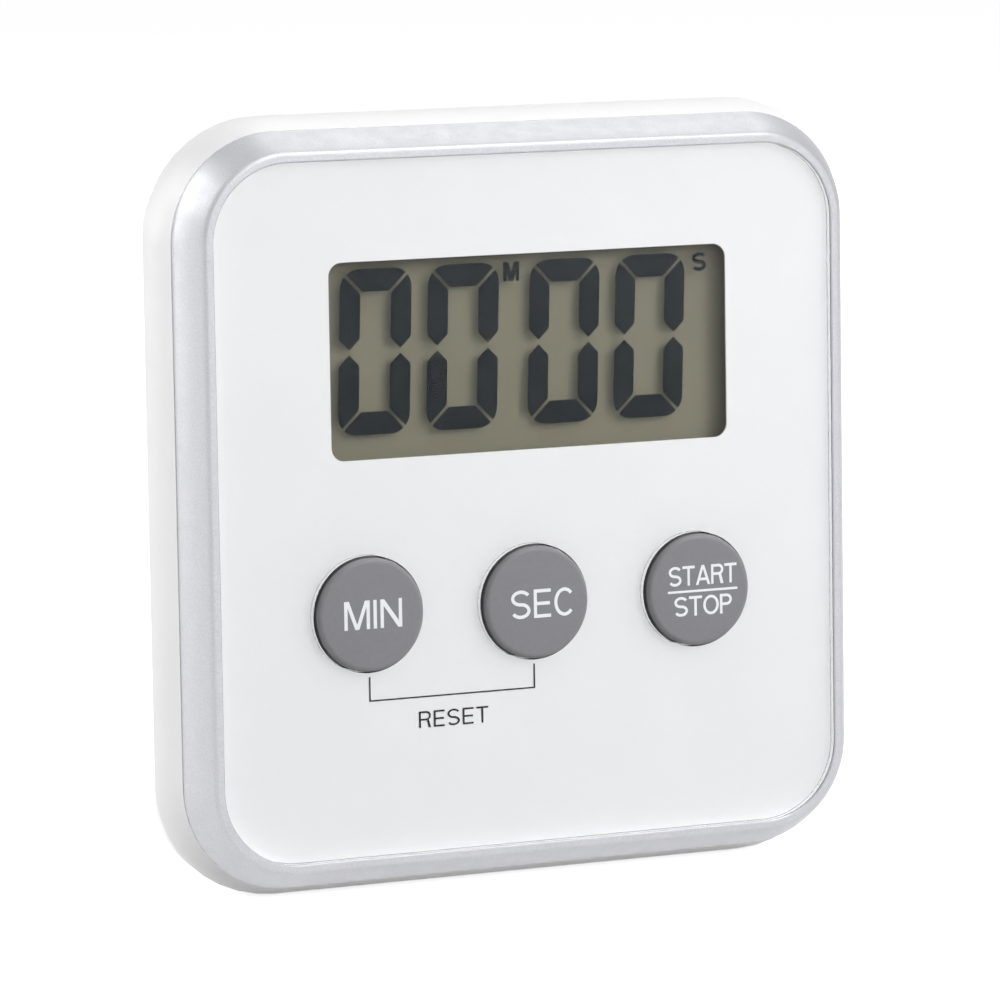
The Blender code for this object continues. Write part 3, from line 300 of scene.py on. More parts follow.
def key_x(label):
    low, high = key_boxes[label]
    return (low.x + high.x) / 2


def hole_outlines():
    return [arc(key_x(label), key_y, hole_radius, 0, 360, key_steps)[:-1] for label in LABELS]


def make_lens():
    outlines = [plate_outline(0.0)] + hole_outlines()
    lens = sheet_with_holes("clear_plate", outlines, 0.0, lens_thick, lens_edge, lens_edge_steps)
    return weigh_faces(shade_by_angle(lens))


def make_white_layer():
    window = rounded_outline(window_x, window_y, window_width, window_height, window_corner)
    outlines = [plate_outline(lens_fit - tiny), window] + hole_outlines()
    return sheet_with_holes("white_layer", outlines, mask_front, mask_back)


def bezel_profile():
    """Offset and depth from the ring's seat, over the land and the crest, down the slope."""
    crest_x = lens_fit + land_width
    lean = math.hypot(slope_width, slope_drop)
    normal = (slope_drop / lean, -slope_width / lean)
    profile = [(lens_fit, bezel_seat), (lens_fit, -bezel_stand + foot_round)]
    profile += [(lens_fit + foot_round, -bezel_stand)]
    slope = []
    for step in range(slope_steps + 1):
        share = step / slope_steps
        bulge = slope_bulge * math.sin(math.pi * share)
        offset = crest_x + slope_width * share + bulge * normal[0]
        depth = -bezel_stand + slope_drop * share + bulge * normal[1]
        slope.append((offset, depth))
    land_end = (crest_x - crest_round, -bezel_stand)
    profile += rounded_crest(land_end, (crest_x, -bezel_stand), slope[crest_span])
    profile += slope[crest_span + 1:-1]
    end_x, end_depth = slope[-1]
    profile += [(end_x, end_depth - foot_round), (end_x - foot_round, end_depth)]
    profile += [(end_x - foot_width, end_depth), (end_x - foot_width - lens_fit, bezel_seat)]
    return profile


def rounded_crest(start, corner, end):
    """A quadratic curve that takes the place of the corner between land and slope."""
    points = []
    for step in range(crest_steps + 1):
        share = step / crest_steps
        weights = ((1 - share) ** 2, 2 * share * (1 - share), share ** 2)
        points.append(tuple(
            sum(weight * place[axis] for weight, place in zip(weights, (start, corner, end)))
            for axis in (0, 1)
        ))
    return points


def make_bezel():
    bm = bmesh.new()
    loops = [ring(bm, plate_outline(offset), depth) for offset, depth in bezel_profile()]
    for first, second in zip(loops, loops[1:] + loops[:1]):
        bridge(bm, first, second)
    return shade_by_angle(work("silver_bezel", bm), turned_crease)


def key_section(stand):
    """Half section of a key: crown with a rounded rim, skirt, flange and centre stem."""
    rim = key_radius - key_edge
    stem_back = -min(key_boxes["min"][1].y - face_y, flange_back + key_wall)
    section = [(0.0, stand)]
    section += arc(rim, stand - key_edge, key_edge, 0, 90, key_edge_steps)[::-1]
    section += [(key_radius, -flange_front), (key_radius + flange_reach, -flange_front)]
    section += [(key_radius + flange_reach, -flange_back), (key_radius - key_wall, -flange_back)]
    section += [(key_radius - key_wall, stand - key_skin), (stem_radius, stand - key_skin)]
    section += [(stem_radius, stem_back), (0.0, stem_back)]
    return section


def make_key(label):
    low, high = key_boxes[label]
    bm = bmesh.new()
    section = key_section(face_y - low.y)
    edges = []
    verts = [bm.verts.new((radius, 0.0, height)) for radius, height in section]
    for first, second in zip(verts, verts[1:]):
        edges.append(bm.edges.new((first, second)))
    bmesh.ops.spin(
        bm, geom=verts + edges, axis=(0, 0, 1), cent=(0, 0, 0), steps=key_steps,
        angle=math.radians(360), use_merge=True,
    )
    bmesh.ops.remove_doubles(bm, verts=bm.verts, dist=weld_distance)
    bmesh.ops.translate(bm, vec=(key_x(label), key_y, 0.0), verts=bm.verts)
    return shade_by_angle(work(f"key_cap_{label}", bm), turned_crease)


def mitre_turn(side):
    """Angle of the mitre's edge on the outer corner; side is 1 above the mitre, -1 below."""
    lead = (digit_height / 2 - level_stroke) - (digit_width / 2 - upright_stroke)
    rise = lead - (digit_height - digit_width) / 2 + side * mitre_gap / math.sqrt(2)
    return 45 + math.degrees(math.asin(rise / (digit_corner * math.sqrt(2))))


def digit_arc(start, end):
    """Part of a digit's upper right corner, between two angles."""
    x, y = digit_width / 2 - digit_corner, digit_height / 2 - digit_corner
    return arc(x, y, digit_corner, start, end, digit_corner_steps)


def level_segment(x, y, direction):
    """Top or bottom bar of a digit; direction is 1 for the top."""
    half, up = digit_width / 2, digit_height / 2
    inner = (half - upright_stroke - mitre_gap / math.sqrt(2), up - level_stroke)
    right = digit_arc(mitre_turn(1), 90)
    left = [(-px, py) for px, py in reversed(right)]
    points = [inner] + right + left + [(-inner[0], inner[1])]
    return [(x + px, y + direction * py) for px, py in points]


def upright_segment(x, y, side, direction):
    """One of the four side bars; side is 1 for the right, direction 1 for the upper half."""
    half, up = digit_width / 2, digit_height / 2
    inner_x = half - upright_stroke
    shoulder_y = tip_gap / 2 + upright_stroke / 2
    tip = (inner_x + upright_stroke / 2, tip_gap / 2)
    points = [(inner_x, shoulder_y), tip, (half, shoulder_y)]
    points += digit_arc(0, mitre_turn(-1))
    points += [(inner_x, up - level_stroke - mitre_gap / math.sqrt(2))]
    return [(x + side * px, y + direction * py) for px, py in points]


def lean_over(px, py):
    return px + digit_lean * (py - digit_middle_y), py


def segment_outlines():
    """Every segment of the four digits, leaning a little to the right."""
    outlines = []
    for pair in pair_x:
        for digit in (-1, 1):
            x = pair + digit * digit_pitch / 2
            for direction in (-1, 1):
                outlines.append(level_segment(x, digit_middle_y, direction))
                for side in (-1, 1):
                    outlines.append(upright_segment(x, digit_middle_y, side, direction))
    return [[lean_over(px, py) for px, py in shape] for shape in outlines]


def make_segments():
    """All the dark segments, a thin layer between the two display glasses."""
    middle_depth = (glass_gap_front + glass_gap_back) / 2
    front, back = middle_depth - segment_thick / 2, middle_depth + segment_thick / 2
    return sheet_with_holes("display_segments", segment_outlines(), front, back)


def bar(left, low, right, high):
    return [(left, low), (right, low), (right, high), (left, high)]


def band(points, stroke):
    """The outline of a line of even width drawn along points."""
    left, right = [], []
    for i, (x, y) in enumerate(points):
        x0, y0 = points[max(i - 1, 0)]
        x1, y1 = points[min(i + 1, len(points) - 1)]
        length = math.hypot(x1 - x0, y1 - y0)
        across, up = -(y1 - y0) / length * stroke / 2, (x1 - x0) / length * stroke / 2
        left.append((x + across, y + up))
        right.append((x - across, y - up))
    return left + right[::-1]


def oval(width, stroke, start, end, low=0.0, high=1.0):
    """Middle line of a round stroke that fills a letter's width between two heights."""
    middle_x, middle_y = width / 2, (low + high) / 2
    reach, rise = (width - stroke) / 2, (high - low - stroke) / 2
    points = []
    for px, py in arc(0.0, 0.0, 1.0, start, end, oval_steps):
        points.append((middle_x + reach * px, middle_y + rise * py))
    return points


def letter_shapes(letter, t):
    """Outlines of a plain capital one unit tall, and its width; t is the stroke."""
    if letter == "I":
        return [bar(0, 0, t, 1)], t
    if letter == "T":
        w = 0.72
        left, right = (w - t) / 2, (w + t) / 2
        return [[
            (left, 0), (right, 0), (right, 1 - t), (w, 1 - t), (w, 1), (0, 1), (0, 1 - t),
            (left, 1 - t),
        ]], w
    if letter == "E":
        w, low, high = 0.66, (1 - t) / 2, (1 + t) / 2
        return [[
            (0, 0), (w, 0), (w, t), (t, t), (t, low), (0.94 * w, low), (0.94 * w, high), (t, high),
            (t, 1 - t), (w, 1 - t), (w, 1), (0, 1),
        ]], w
    if letter == "N":
        w, top = 0.78, 1.18 * t
        lean = (w - t - top) / 0.77
        drop = (w - t - top) / lean
        return [[
            (0, 0), (t, 0), (t, drop), (w - top, 0), (w, 0), (w, 1), (w - t, 1),
            (w - t, 1 - drop), (top, 1), (0, 1),
        ]], w
    if letter == "M":
        w, top, foot = 0.92, 1.45 * t, 0.60 * t
        lean = 0.345
        return [[
            (0, 0), (t, 0), (t, (w / 2 - foot - t) / lean), (w / 2 - foot, 0), (w / 2 + foot, 0),
            (w - t, (w / 2 - foot - t) / lean), (w - t, 0), (w, 0), (w, 1), (w - top, 1),
            (w / 2, 1 - (w / 2 - top) / lean), (top, 1), (0, 1),
        ]], w
    if letter == "A":
        w, peak = 0.84, 0.56 * t
        lean = w / 2 - peak
        foot = t * math.hypot(1, lean)
        low, high = 0.22, 0.22 + t
        low_x, high_x = foot + low * lean, foot + high * lean
        outer = [
            (0, 0), (foot, 0), (low_x, low), (w - foot - low * lean, low), (w - foot, 0),
            (w, 0), (w / 2 + peak, 1), (w / 2 - peak, 1),
        ]
        hole = [(high_x, high), (w - foot - high * lean, high), (w / 2, (w / 2 - foot) / lean)]
        return [outer, hole], w
    if letter in "PR":
        w, low = (0.66, 0.42) if letter == "P" else (0.72, 0.44)
        reach = (1 - low) / 2
        bowl = arc(w - reach, 1 - reach, reach, -90, 90, bowl_steps)
        hole = [(t, low + t)] + arc(w - reach, 1 - reach, reach - t, -90, 90, bowl_steps)
        hole += [(t, 1 - t)]
        outer = [(0, 0), (t, 0), (t, low)]
        if letter == "R":
            bowl = bowl[leg_step:]
            root_x, root_y = bowl[0]
            lean = (w - root_x) / root_y
            foot = 1.2 * t
            outer += [(w - foot - low * lean, low), (w - foot, 0), (w, 0)]
        return [outer + bowl + [(0, 1)], hole], w
    if letter == "O":
        w = 0.86
        return [oval(w, 0, 0, 360)[:-1], oval(w, 2 * t, 0, 360)[:-1]], w
    if letter == "C":
        w = 0.80
        return [band(oval(w, t, 42, 318), t)], w
    w, waist = 0.74, 0.5
    top = oval(w, t, 25, 262, waist - t / 2, 1.0)
    bottom = oval(w, t, 82, -155, 0.0, waist + t / 2)
    return [band(top + bottom, t)], w


def print_sheet(name, outlines, depth):
    """A thin sheet of ink, half of it on each side of a depth."""
    return sheet_with_holes(name, outlines, depth - print_thick / 2, depth + print_thick / 2)


def make_word(name, letters, depth, stroke=word_stroke, space=word_space):
    """A word in plain capitals that fills its box on the face."""
    x, y, width, height = WORD_BOXES[letters]
    drawn, along = [], 0.0
    for letter in letters:
        shapes, letter_width = letter_shapes(letter, stroke)
        drawn += [[(along + px, py) for px, py in shape] for shape in shapes]
        along += letter_width + space
    scale = width / (along - space)
    outlines = [
        [(x - width / 2 + px * scale, y + (py - 0.5) * height) for px, py in shape]
        for shape in drawn
    ]
    return print_sheet(name, outlines, depth)


def make_bar(depth):
    """The line between START and STOP."""
    x, y, width, height = bar_box
    outline = rounded_outline(x, y, width, height, height / 2 - tiny, bar_end_steps)
    return print_sheet("start_stop_bar", [outline], depth)


def make_bracket(depth):
    """The line that joins the two keys which clear the timer together."""
    half = bracket_line / 2
    left, right, top, bottom = bracket_left, bracket_right, bracket_top, bracket_bottom
    points = [
        (left - half, top), (left - half, bottom - half), (right + half, bottom - half),
        (right + half, top), (right - half, top), (right - half, bottom + half),
        (left + half, bottom + half), (left + half, top),
    ]
    return print_sheet("reset_bracket", [points], depth)


class Finish:
    """A node material round one shader, patterned in the object's own coordinates."""

    def __init__(self, name, colour, roughness, metallic=0.0):
        self.material = bpy.data.materials.new(name)
        self.material.use_nodes = True
        self.tree = self.material.node_tree
        self.shader = self.tree.nodes["Principled BSDF"]
        self.colour = (*colour, 1.0)
        self.shader.inputs["Base Color"].default_value = self.colour
        self.shader.inputs["Roughness"].default_value = roughness
        self.shader.inputs["Metallic"].default_value = metallic
        self.roughness = roughness
        self.place = self.tree.nodes.new("ShaderNodeTexCoord").outputs["Object"]

    def add(self, kind, **settings):
        node = self.tree.nodes.new(kind)
        for key, value in settings.items():
            setattr(node, key, value)
        return node

    def link(self, source, target):
        self.tree.links.new(source, target)

    def noise(self, size, detail=2.0):
        """Even noise whose grains are about the given size."""
        node = self.add("ShaderNodeTexNoise")
        node.inputs["Scale"].default_value = 1.0 / size
        node.inputs["Detail"].default_value = detail
        self.link(self.place, node.inputs["Vector"])
        return node.outputs["Fac"]

    def spread(self, source, low, high, from_low=0.3, from_high=0.7):
        node = self.add("ShaderNodeMapRange")
        node.inputs["From Min"].default_value = from_low
        node.inputs["From Max"].default_value = from_high
        node.inputs["To Min"].default_value = low
        node.inputs["To Max"].default_value = high
        self.link(source, node.inputs["Value"])
        return node.outputs["Result"]

    def blend(self, share, first, second):
        """Colour between two, each a colour or a socket, by a share socket."""
        node = self.add("ShaderNodeMix", data_type="RGBA")
        self.link(share, node.inputs["Factor"])
        for value, socket in ((first, node.inputs[6]), (second, node.inputs[7])):
            if isinstance(value, tuple):
                socket.default_value = (*value[:3], 1.0)
            else:
                self.link(value, socket)
        return node.outputs[2]

    def mottle(self, size, amount, detail=2.0):
        """Lightens and darkens the colour a little, in patches of the given size."""
        dark = tuple(channel * (1 - amount) for channel in self.colour[:3])
        light = tuple(min(channel * (1 + amount), 1.0) for channel in self.colour[:3])
        share = self.spread(self.noise(size, detail), 0.0, 1.0)
        self.set_colour(self.blend(share, dark, light))
        return self

    def set_colour(self, socket):
        self.colour_socket = socket
        self.link(socket, self.shader.inputs["Base Color"])

    def gloss(self, size, amount, detail=3.0):
        """Varies the roughness round its value."""
        low, high = max(self.roughness - amount, 0.0), self.roughness + amount
        self.link(self.spread(self.noise(size, detail), low, high), self.shader.inputs["Roughness"])
        return self

    def grain(self, size, height, strength=0.6):
        """Moulded or sprayed surface grain, as a bump of the given height."""
        bump = self.add("ShaderNodeBump")
        bump.inputs["Strength"].default_value = strength
        bump.inputs["Distance"].default_value = height
        self.link(self.noise(size), bump.inputs["Height"])
        normal = self.shader.inputs["Normal"]
        if normal.is_linked:
            self.link(normal.links[0].from_socket, bump.inputs["Normal"])
        self.link(bump.outputs["Normal"], normal)
        return self

    def change_along(self, axis, start, end, colour):
        """Turns to another colour between two places along an axis of the case."""
        parts = self.add("ShaderNodeSeparateXYZ")
        self.link(self.place, parts.inputs[0])
        share = self.spread(parts.outputs[axis], 0.0, 1.0, start, end)
        self.set_colour(self.blend(share, self.colour_socket, colour))
        return self

    def specks(self, pitch, radius, colour, rarity=0.75):
        """Rare small specks of another colour, at places that follow no row."""
        cells = self.add("ShaderNodeTexVoronoi")
        cells.inputs["Scale"].default_value = 1.0 / pitch
        self.link(self.place, cells.inputs["Vector"])
        edge = radius / pitch
        inside = self.spread(cells.outputs["Distance"], 1.0, 0.0, 0.5 * edge, edge)
        parts = self.add("ShaderNodeSeparateColor")
        self.link(cells.outputs["Color"], parts.inputs["Color"])
        chosen = self.add("ShaderNodeMath", operation="GREATER_THAN")
        chosen.inputs[1].default_value = rarity
        self.link(parts.outputs["Red"], chosen.inputs[0])
        both = self.add("ShaderNodeMath", operation="MULTIPLY")
        self.link(inside, both.inputs[0])
        self.link(chosen.outputs[0], both.inputs[1])
        self.set_colour(self.blend(both.outputs[0], self.colour_socket, colour))
        return self


def white_plastic():
    finish = Finish("white_plastic_look", (0.865, 0.858, 0.867), 0.36)
    return finish.mottle(6 * mm, 0.012).gloss(2 * mm, 0.04).grain(0.16 * mm, 0.006 * mm, 0.4)


def silver_paint():
    finish = Finish("silver_paint_look", (0.46, 0.462, 0.485), 0.46, 0.8)
    finish.mottle(0.12 * mm, 0.10, 4.0).gloss(1.5 * mm, 0.05)
    finish.specks(3.4 * mm, 0.12 * mm, (0.16, 0.16, 0.17), 0.8)
    return finish.grain(0.10 * mm, 0.006 * mm, 0.5).grain(0.9 * mm, 0.010 * mm, 0.35)


def white_print():
    finish = Finish("white_print_look", (0.83, 0.83, 0.84), 0.5)
    return finish.mottle(9 * mm, 0.008).gloss(3 * mm, 0.05)


def clear_acrylic():
    finish = Finish("clear_acrylic_look", (0.985, 0.99, 0.99), 0.0)
    finish.shader.inputs["Transmission Weight"].default_value = 1.0
    finish.shader.inputs["IOR"].default_value = 1.49
    finish.shader.inputs["Specular Tint"].default_value = (0.16, 0.16, 0.16, 1.0)
    return finish.gloss(8 * mm, 0.015)


def display_glass():
    """Glass laminated to its neighbours, so that its faces hardly reflect."""
    finish = Finish("display_glass_look", (0.98, 0.985, 0.975), 0.0)
    finish.shader.inputs["Transmission Weight"].default_value = 1.0
    finish.shader.inputs["IOR"].default_value = 1.50
    finish.shader.inputs["Specular Tint"].default_value = (0.0, 0.0, 0.0, 1.0)
    return finish.gloss(6 * mm, 0.02)


def reflector():
    finish = Finish("reflector_look", (0.169, 0.155, 0.106), 0.6)
    return finish.mottle(0.35 * mm, 0.05, 4.0).grain(0.25 * mm, 0.01 * mm, 0.3)


def segment_ink():
    """Dark liquid crystal that still lets part of the light through to the reflector."""
    finish = Finish("segment_look", (0.006, 0.010, 0.013), 0.6)
    finish.shader.inputs["Specular IOR Level"].default_value = 0.0
    finish.mottle(0.5 * mm, 0.08)
    clear = finish.add("ShaderNodeBsdfTransparent")
    clear.inputs["Color"].default_value = (0.82, 0.86, 0.88, 1.0)
    both = finish.add("ShaderNodeMixShader")
    path = finish.add("ShaderNodeLightPath")
    dark = finish.spread(path.outputs["Is Shadow Ray"], ink_cover, ink_shade, 0.0, 1.0)
    finish.link(dark, both.inputs["Fac"])
    finish.link(clear.outputs[0], both.inputs[1])
    finish.link(finish.shader.outputs[0], both.inputs[2])
    finish.link(both.outputs[0], finish.tree.nodes["Material Output"].inputs["Surface"])
    return finish


def grey_key():
    finish = Finish("grey_key_look", (0.200, 0.200, 0.212), 0.46)
    finish.mottle(0.5 * mm, 0.03, 4.0).gloss(1.2 * mm, 0.05)
    finish.specks(1.7 * mm, 0.07 * mm, (0.42, 0.42, 0.44), 0.8)
    front = key_boxes["min"][0].y
    # Painted shade: the side walls below the rim are coloured near black, standing in for the shade
    # in the gap round the key
    side = (0.022, 0.022, 0.024)
    finish.change_along("Y", front + key_painted_shade_start, front + key_painted_shade_end, side)
    return finish.grain(0.12 * mm, 0.008 * mm, 0.4)


def key_print():
    finish = Finish("key_print_look", (0.84, 0.85, 0.87), 0.45)
    return finish.mottle(0.3 * mm, 0.02).grain(0.08 * mm, 0.004 * mm)


def dark_print():
    finish = Finish("dark_print_look", (0.018, 0.017, 0.022), 0.6)
    finish.shader.inputs["Specular IOR Level"].default_value = 0.1
    return finish.mottle(0.3 * mm, 0.1)


def cell_jacket():
    """A printed foil jacket, dark blue with a pale band, and bare steel at both ends."""
    low, high = (corner.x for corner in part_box("battery_cell"))
    finish = Finish("cell_jacket_look", (0.035, 0.070, 0.150), 0.30, 0.5)
    finish.mottle(0.8 * mm, 0.05)
    steel = (0.60, 0.60, 0.59)
    finish.change_along("X", high - cell_band, high - cell_band + tiny, (0.50, 0.51, 0.53))
    finish.change_along("X", high - cell_end - tiny, high - cell_end, steel)
    finish.change_along("X", low + cell_rim, low + cell_rim - tiny, steel)
    return finish.gloss(0.8 * mm, 0.05).grain(0.2 * mm, 0.003 * mm)


def plain_finish(name, colour, roughness, metallic=0.0, patch=1.0 * mm, amount=0.05):
    finish = Finish(name, colour, roughness, metallic)
    return finish.mottle(patch, amount).gloss(patch, 0.06).grain(patch / 4, patch / 200, 0.4)


def nickel_plate():
    """Smooth plating, with faint broad changes and no grain."""
    finish = Finish("magnet_look", (0.42, 0.415, 0.40), 0.26, 1.0)
    return finish.mottle(2.5 * mm, 0.02).gloss(1.5 * mm, 0.03)


def slot_finishes():
    """One finish for each material slot of the frame."""
    return {
        "clear_acrylic": clear_acrylic(),
        "white_print": white_print(),
        "silver_paint": silver_paint(),
        "white_plastic": white_plastic(),
        "grey_key": grey_key(),
        "display_glass": display_glass(),
        "reflector": reflector(),
        "black_rubber": plain_finish("black_rubber_look", (0.03, 0.03, 0.032), 0.75),
        "white_holder": plain_finish("white_holder_look", (0.72, 0.72, 0.70), 0.5),
        "board_green": plain_finish("board_green_look", (0.02, 0.11, 0.045), 0.4),
        "black_resin": plain_finish("black_resin_look", (0.015, 0.015, 0.016), 0.3),
        "steel": plain_finish("steel_look", (0.52, 0.52, 0.51), 0.30, 1.0, 0.4 * mm),
        "magnet": nickel_plate(),
        "brass": plain_finish("brass_look", (0.80, 0.58, 0.26), 0.30, 1.0, 0.5 * mm),
        "copper": plain_finish("copper_look", (0.82, 0.38, 0.20), 0.32, 1.0, 0.3 * mm),
        "ceramic": plain_finish("ceramic_look", (0.55, 0.42, 0.30), 0.5, 0.0, 0.4 * mm),
        "cell_jacket": cell_jacket(),
        "wire_black": plain_finish("wire_black_look", (0.02, 0.02, 0.02), 0.5),
        "wire_red": plain_finish("wire_red_look", (0.45, 0.02, 0.02), 0.5),
    }


def dress(piece, finish):
    piece.data.materials.clear()
    piece.data.materials.append(finish.material)
    return piece


def shading_group(limit):
    """Geometry nodes that shade by edge angle, free of the loaded normals."""
    group = bpy.data.node_groups.new("shade_by_angle", "GeometryNodeTree")
    group.interface.new_socket("Geometry", in_out="INPUT", socket_type="NodeSocketGeometry")
    group.interface.new_socket("Geometry", in_out="OUTPUT", socket_type="NodeSocketGeometry")
    start = group.nodes.new("NodeGroupInput")
    forget = group.nodes.new("GeometryNodeRemoveAttribute")
    forget.inputs["Name"].default_value = "custom_normal"
    angle = group.nodes.new("GeometryNodeInputMeshEdgeAngle")
    steep = group.nodes.new("FunctionNodeCompare")
    steep.data_type = "FLOAT"
    steep.operation = "GREATER_THAN"
    steep.inputs[1].default_value = limit
    smooth = group.nodes.new("GeometryNodeSetShadeSmooth")
    hard = group.nodes.new("GeometryNodeSetShadeSmooth")
    hard.domain = "EDGE"
    hard.inputs["Shade Smooth"].default_value = False
    end = group.nodes.new("NodeGroupOutput")
    links = group.links
    links.new(start.outputs[0], forget.inputs["Geometry"])
    links.new(forget.outputs["Geometry"], smooth.inputs["Geometry"])
    links.new(angle.outputs["Unsigned Angle"], steep.inputs[0])
    links.new(smooth.outputs["Geometry"], hard.inputs["Geometry"])
    links.new(steep.outputs["Result"], hard.inputs["Selection"])
    links.new(hard.outputs["Geometry"], end.inputs[0])
    return group


def soften(node, group, width):
    """Welds a frame node's mesh, clears flat edges, rounds sharp ones and shades by angle."""
    weld = node.modifiers.new("Weld", "WELD")
    weld.merge_threshold = weld_distance * 2
    flat = node.modifiers.new("Flat faces", "DECIMATE")
    flat.decimate_type = "DISSOLVE"
    flat.angle_limit = math.radians(flat_angle)
    if width > 0:
        bevel = node.modifiers.new("Edges", "BEVEL")
        bevel.width = width
        bevel.segments = edge_segments
        bevel.limit_method = "ANGLE"
        bevel.angle_limit = math.radians(edge_angle)
    shade = node.modifiers.new("Shade", "NODES")
    shade.node_group = group
    weigh_faces(node)


def make_camera():
    """A long lens turned, raised and rolled as the photograph was taken."""
    az, el, roll = camera_azimuth, camera_elevation, camera_roll
    ahead = Vector((math.sin(az) * math.cos(el), math.cos(az) * math.cos(el), -math.sin(el)))
    right = Vector((math.cos(az), -math.sin(az), 0.0))
    up = right.cross(ahead)
    eye = middle - ahead * camera_distance - right * camera_right - up * camera_up
    across = math.cos(roll) * right + math.sin(roll) * up
    above = -math.sin(roll) * right + math.cos(roll) * up
    data = bpy.data.cameras.new("photo_camera")
    data.lens = camera_lens
    data.sensor_width = camera_sensor
    data.clip_start = camera_distance / 10
    data.clip_end = floor_size * 2
    camera = bpy.data.objects.new("photo_camera", data)
    rows = Matrix((across, above, -ahead)).transposed()
    camera.matrix_world = Matrix.Translation(eye) @ rows.to_4x4()
    bpy.context.scene.collection.objects.link(camera)
    bpy.context.scene.camera = camera


def make_lamps():
    """Area lamps that all face the middle of the timer."""
    for name, (place, width, height, power, matt, glossy) in LAMPS.items():
        data = bpy.data.lights.new(f"{name}_lamp", "AREA")
        data.shape = "RECTANGLE"
        data.size = width
        data.size_y = height
        data.energy = power
        lamp = bpy.data.objects.new(f"{name}_lamp", data)
        lamp.location = place
        lamp.visible_diffuse = matt
        lamp.visible_glossy = glossy
        lamp.rotation_euler = (lamp_aim - place).to_track_quat("-Z", "Y").to_euler()
        bpy.context.scene.collection.objects.link(lamp)


def seen_directly(tree):
    """A socket that is 1 for rays from the camera, off gloss or through glass."""
    path = tree.nodes.new("ShaderNodeLightPath")
    total = path.outputs["Is Camera Ray"]
    for name in ("Is Glossy Ray", "Is Transmission Ray"):
        larger = tree.nodes.new("ShaderNodeMath")
        larger.operation = "MAXIMUM"
        tree.links.new(total, larger.inputs[0])
        tree.links.new(path.outputs[name], larger.inputs[1])
        total = larger.outputs[0]
    return total


def make_world():
    world = bpy.data.worlds.new("studio")
    bpy.context.scene.world = world
    world.use_nodes = True
    tree = world.node_tree
    light = tree.nodes["Background"]
    light.inputs["Color"].default_value = (1.0, 1.0, 1.0, 1.0)
    light.inputs["Strength"].default_value = world_light
    backdrop = tree.nodes.new("ShaderNodeBackground")
    backdrop.inputs["Color"].default_value = (1.0, 1.0, 1.0, 1.0)
    backdrop.inputs["Strength"].default_value = 1.0
    both = tree.nodes.new("ShaderNodeMixShader")
    tree.links.new(seen_directly(tree), both.inputs["Fac"])
    tree.links.new(light.outputs[0], both.inputs[1])
    tree.links.new(backdrop.outputs[0], both.inputs[2])
    tree.links.new(both.outputs[0], tree.nodes["World Output"].inputs["Surface"])


def floor_material():
    """Grey to the light that it returns, white to the eye, and dark where it is shaded."""
    material = bpy.data.materials.new("floor_look")
    material.use_nodes = True
    tree = material.node_tree
    tree.nodes.remove(tree.nodes["Principled BSDF"])
    bounce = tree.nodes.new("ShaderNodeBsdfDiffuse")
    bounce.inputs["Color"].default_value = (floor_bounce,) * 3 + (1.0,)
    paper = tree.nodes.new("ShaderNodeBsdfDiffuse")
    paper.inputs["Color"].default_value = (floor_paper,) * 3 + (1.0,)
    glow = tree.nodes.new("ShaderNodeEmission")
    glow.inputs["Strength"].default_value = floor_glow
    look = tree.nodes.new("ShaderNodeAddShader")
    tree.links.new(paper.outputs[0], look.inputs[0])
    tree.links.new(glow.outputs[0], look.inputs[1])
    both = tree.nodes.new("ShaderNodeMixShader")
    tree.links.new(seen_directly(tree), both.inputs["Fac"])
    tree.links.new(bounce.outputs[0], both.inputs[1])
    tree.links.new(look.outputs[0], both.inputs[2])
    tree.links.new(both.outputs[0], tree.nodes["Material Output"].inputs["Surface"])
    return material


def make_floor():
    bm = bmesh.new()
    bmesh.ops.create_grid(bm, x_segments=1, y_segments=1, size=floor_size / 2)
    mesh = bpy.data.meshes.new("studio_floor")
    bm.to_mesh(mesh)
    bm.free()
    floor = bpy.data.objects.new("studio_floor", mesh)
    bpy.context.scene.collection.objects.link(floor)
    mesh.materials.append(floor_material())


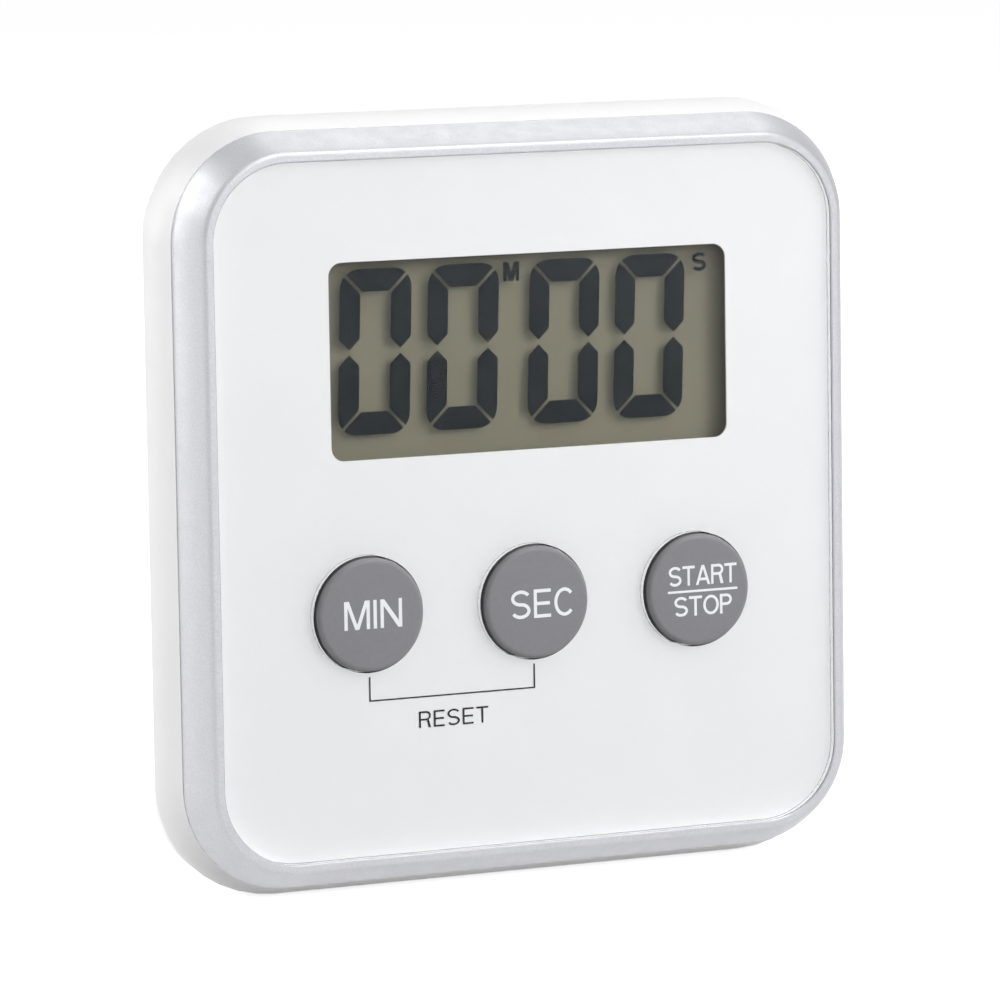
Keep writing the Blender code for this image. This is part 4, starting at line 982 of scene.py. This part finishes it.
def place_front(finishes):
    lens = dress(make_lens(), finishes["clear_acrylic"])
    lens.visible_shadow = False
    lens.visible_diffuse = False
    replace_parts(lens, "front_lens")
    layer = dress(make_white_layer(), finishes["white_print"])
    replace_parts(layer, "window_mask")
    bezel = dress(make_bezel(), finishes["silver_paint"])
    bezel.visible_shadow = False  # the plate bends lamp light in under the ring's edge
    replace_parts(bezel, "bezel_ring")
    display_ink = segment_ink()
    segments = dress(make_segments(), display_ink)
    marks = [lens, layer, bezel, segments]
    display_depth = (glass_gap_front + glass_gap_back) / 2
    ink = dark_print()
    for letter in ("M", "S"):
        word = make_word(f"display_{letter}", letter, display_depth, display_mark_stroke)
        marks.append(dress(word, display_ink))
    print_depth = (lens_thick + mask_front) / 2
    reset = make_word("reset_word", "RESET", print_depth, reset_stroke, reset_space)
    for piece in (reset, make_bracket(print_depth)):
        marks.append(dress(piece, ink))
    for piece in marks:
        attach(piece, "case")


def place_keys(finishes):
    paint = key_print()
    for label in LABELS:
        body = KEY_BODY[label]
        cap = dress(make_key(label), finishes["grey_key"])
        cap.visible_shadow = False
        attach(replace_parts(cap, f"key_{label}"), body)
        depth = key_boxes[label][0].y - face_y
        if label == "start_stop":
            start = make_word("start_word", "START", depth, tight_stroke, tight_space)
            stop = make_word("stop_word", "STOP", depth, tight_stroke, tight_space)
            words = [start, stop, make_bar(depth)]
        else:
            words = [make_word(f"{label}_word", label.upper(), depth)]
        for word in words:
            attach(dress(word, paint), body)


EDGE_WIDTHS = {
    "front_housing": 0.10 * mm,
    "back_cover": 0.15 * mm,
    "battery_door": 0.12 * mm,
    "stand_flap": 0.12 * mm,
}


def dress_nodes(finishes):
    group = shading_group(math.radians(node_crease))
    for name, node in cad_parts.items():
        slot_name = node.data.materials[0].name.split(".")[0]
        for place in node.material_slots:
            place.material = finishes[slot_name].material
        if not node.hide_render:
            soften(node, group, EDGE_WIDTHS.get(name, 0.0))
    for name in ("lcd_front_glass", "lcd_rear_glass"):
        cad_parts[name].visible_shadow = False
        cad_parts[name].visible_diffuse = False


def main():
    make_camera()
    make_lamps()
    make_world()
    make_floor()
    finishes = slot_finishes()
    place_front(finishes)
    place_keys(finishes)
    dress_nodes(finishes)
    bpy.context.scene.view_settings.view_transform = "Standard"


main()
